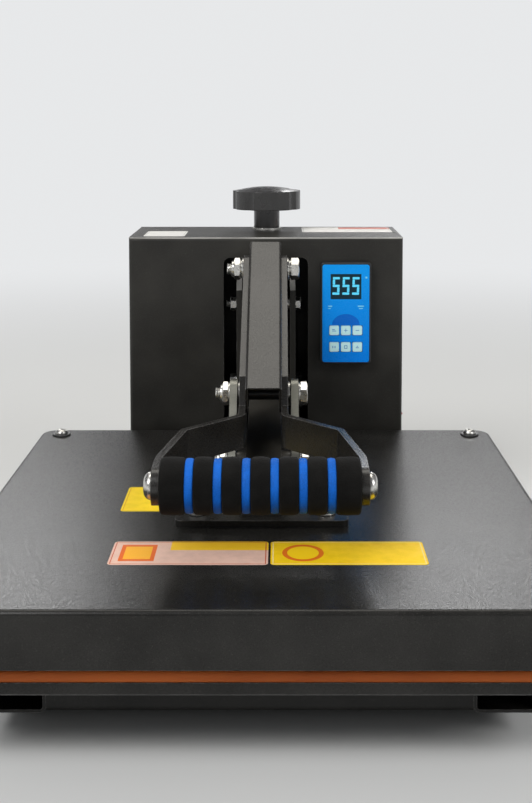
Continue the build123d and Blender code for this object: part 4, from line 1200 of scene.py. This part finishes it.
# Marks printed on the keys and the panel: plain rectangles, as left, bottom, right and top in mm
MARK_LIFT = 0.06 * MM
KEY_MARKS = {
    "key_1": [(-1.8, -0.9, 1.8, -0.2), (-1.8, 0.5, 0.6, 1.2)],
    "key_2": [(-1.6, -0.3, 1.6, 0.3), (-0.3, -1.6, 0.3, 1.6)],
    "key_3": [(-1.6, -0.3, 1.6, 0.3)],
    "key_4": [(-1.6, -1.0, -0.8, 1.0), (0.4, -1.0, 1.2, 1.0)],
    "key_5": [
        (-1.5, -1.5, 1.5, -0.9),
        (-1.5, 0.9, 1.5, 1.5),
        (-1.5, -0.9, -0.9, 0.9),
        (0.9, -0.9, 1.5, 0.9),
    ],
    "key_6": [(-1.4, -1.0, 1.4, -0.3), (-0.7, 0.3, 0.7, 1.0)],
}
PANEL_MARKS = [
    (-16.0, 6.2, -12.4, 7.2),
    (10.8, 6.2, 16.4, 7.2),
    (-16.0, 4.2, -13.6, 4.9),
    (12.0, 4.2, 15.4, 4.9),
    (17.6, 32.0, 19.2, 33.6),
]


def make_print(name, color):
    """Flat ink with a slight unevenness."""
    tree, shader = new_material(name, color, 0.4)
    cloud = noise(tree, coordinates(tree), 900.0, 3.0)
    thin = lighten(color, 1.25, 0.01)
    feed(tree, shader, {"Base Color": mix(tree, cloud, color, thin)})


def make_marks(name, marks, node, finish, body, slot):
    """Marks about the middle of a node's box, raised a little from its face to the front."""
    center = middle(node)
    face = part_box(node)[0].y
    bm = bmesh.new()
    for left, bottom, right, top in marks:
        low = (center.x + left * MM, face - MARK_LIFT, center.z + bottom * MM)
        high = (center.x + right * MM, face, center.z + top * MM)
        add_box(bm, low, high)
    finish_mesh(bm, name, body, slot, 30.0, finish)


make_print("dark_print", (0.10, 0.34, 0.60))
make_print("pale_print", (0.20, 0.66, 0.95))
for key, marks in KEY_MARKS.items():
    make_marks(key + "_mark", marks, key, "dark_print", key + "_body", "key_film")
make_marks("panel_marks", PANEL_MARKS, "controller_panel", "pale_print", "frame", "blue_panel")


# Floor, world and lamps
BACKDROP = (0.80, 0.81, 0.82)
DIM_SKY = (0.16, 0.16, 0.17)


def seen_directly(tree):
    """1 for rays from the camera, a reflection or a transparent piece, 0 for the light itself."""
    path = add(tree, "ShaderNodeLightPath")
    seen = calc(tree, "MAXIMUM", path.outputs["Is Camera Ray"], path.outputs["Is Glossy Ray"])
    return calc(tree, "MAXIMUM", seen, path.outputs["Is Transmission Ray"])


def blend_shaders(tree, factor, first, second, output):
    """Feed an output node with one of two shaders or a blend, by a socket's value."""
    blend = add(tree, "ShaderNodeMixShader", {0: factor, 1: first, 2: second})
    feed(tree, tree.nodes[output], {"Surface": blend.outputs["Shader"]})


FADE_START = 0.45
FADE_END = 2.2
FLOOR_SIZE = 30.0


def make_floor():
    """A pale floor that turns into the backdrop's plain colour with distance."""
    tree, shader = new_material("floor", (0.66, 0.66, 0.65), 0.8, specular=0.1)
    vector = coordinates(tree)
    cloud = noise(tree, vector, 3.0, 3.0)
    tone = mix(tree, cloud, (0.65, 0.65, 0.64), (0.68, 0.68, 0.67))
    feed(tree, shader, {"Base Color": tone})
    distance = add(tree, "ShaderNodeVectorMath", {0: vector}, operation="LENGTH").outputs["Value"]
    fade = spread(tree, distance, FADE_START, FADE_END, 0.0, 1.0, interpolation_type="SMOOTHSTEP")
    plain = add(tree, "ShaderNodeEmission", {"Color": rgba(BACKDROP), "Strength": 1.0})
    share = calc(tree, "MULTIPLY", fade, seen_directly(tree))
    blend_shaders(tree, share, shader.outputs["BSDF"], plain.outputs["Emission"], "Material Output")
    bm = bmesh.new()
    bmesh.ops.create_grid(bm, x_segments=1, y_segments=1, size=FLOOR_SIZE)
    mesh = bpy.data.meshes.new("floor")
    bm.to_mesh(mesh)
    bm.free()
    floor = new_object("floor", mesh, "floor")


def make_world():
    """A pale backdrop round the horizon under a dim ceiling, and a soft light from all round."""
    world = bpy.data.worlds.new("studio")
    world.use_nodes = True
    scene.world = world
    tree = world.node_tree
    soft = tree.nodes["Background"]
    feed(tree, soft, {"Color": (0.96, 0.98, 1.0, 1), "Strength": 0.32})
    direction = add(tree, "ShaderNodeTexCoord").outputs["Generated"]
    rise = spread(tree, axes(tree, direction)["Z"], 0.10, 0.22, 0.0, 1.0)
    sky = mix(tree, rise, BACKDROP, DIM_SKY)
    backdrop = add(tree, "ShaderNodeBackground", {"Color": sky, "Strength": 1.0})
    seen = seen_directly(tree)
    near, far = soft.outputs["Background"], backdrop.outputs["Background"]
    blend_shaders(tree, seen, near, far, "World Output")


WHITE = (1, 1, 1)
WARM_WHITE = (1.0, 0.965, 0.89)


def area_lamp(name, place, target, size, power, color=WHITE):
    """A rectangular lamp that looks at a target and doesn't show itself."""
    lamp = bpy.data.lights.new(name, "AREA")
    lamp.shape = "RECTANGLE"
    lamp.size, lamp.size_y = size
    lamp.energy = power
    lamp.color = color
    holder = bpy.data.objects.new(name, lamp)
    holder.location = place
    facing = Vector(target) - Vector(place)
    holder.rotation_euler = facing.to_track_quat("-Z", "Y").to_euler()
    holder.visible_camera = False
    scene.collection.objects.link(holder)


make_floor()
make_world()
OBJECT = (0, -0.05, 0.1)
area_lamp("key", (-1.1, -1.4, 1.9), OBJECT, size=(1.0, 1.0), power=34)
area_lamp("fill", (1.5, -1.1, 1.3), OBJECT, size=(0.9, 0.9), power=15)
area_lamp("top", (0, 0.55, 2.0), (0, 0, 0.15), size=(1.5, 0.9), power=13, color=WARM_WHITE)
WINDOW = (0.80, 0.50)
area_lamp("window_left", (-1.06, 3.26, 1.64), (-0.16, -0.24, 0.1), size=WINDOW, power=10)
area_lamp("window_right", (0.66, 3.26, 1.64), (0.12, -0.24, 0.1), size=WINDOW, power=10)

scene.view_settings.view_transform = "Standard"
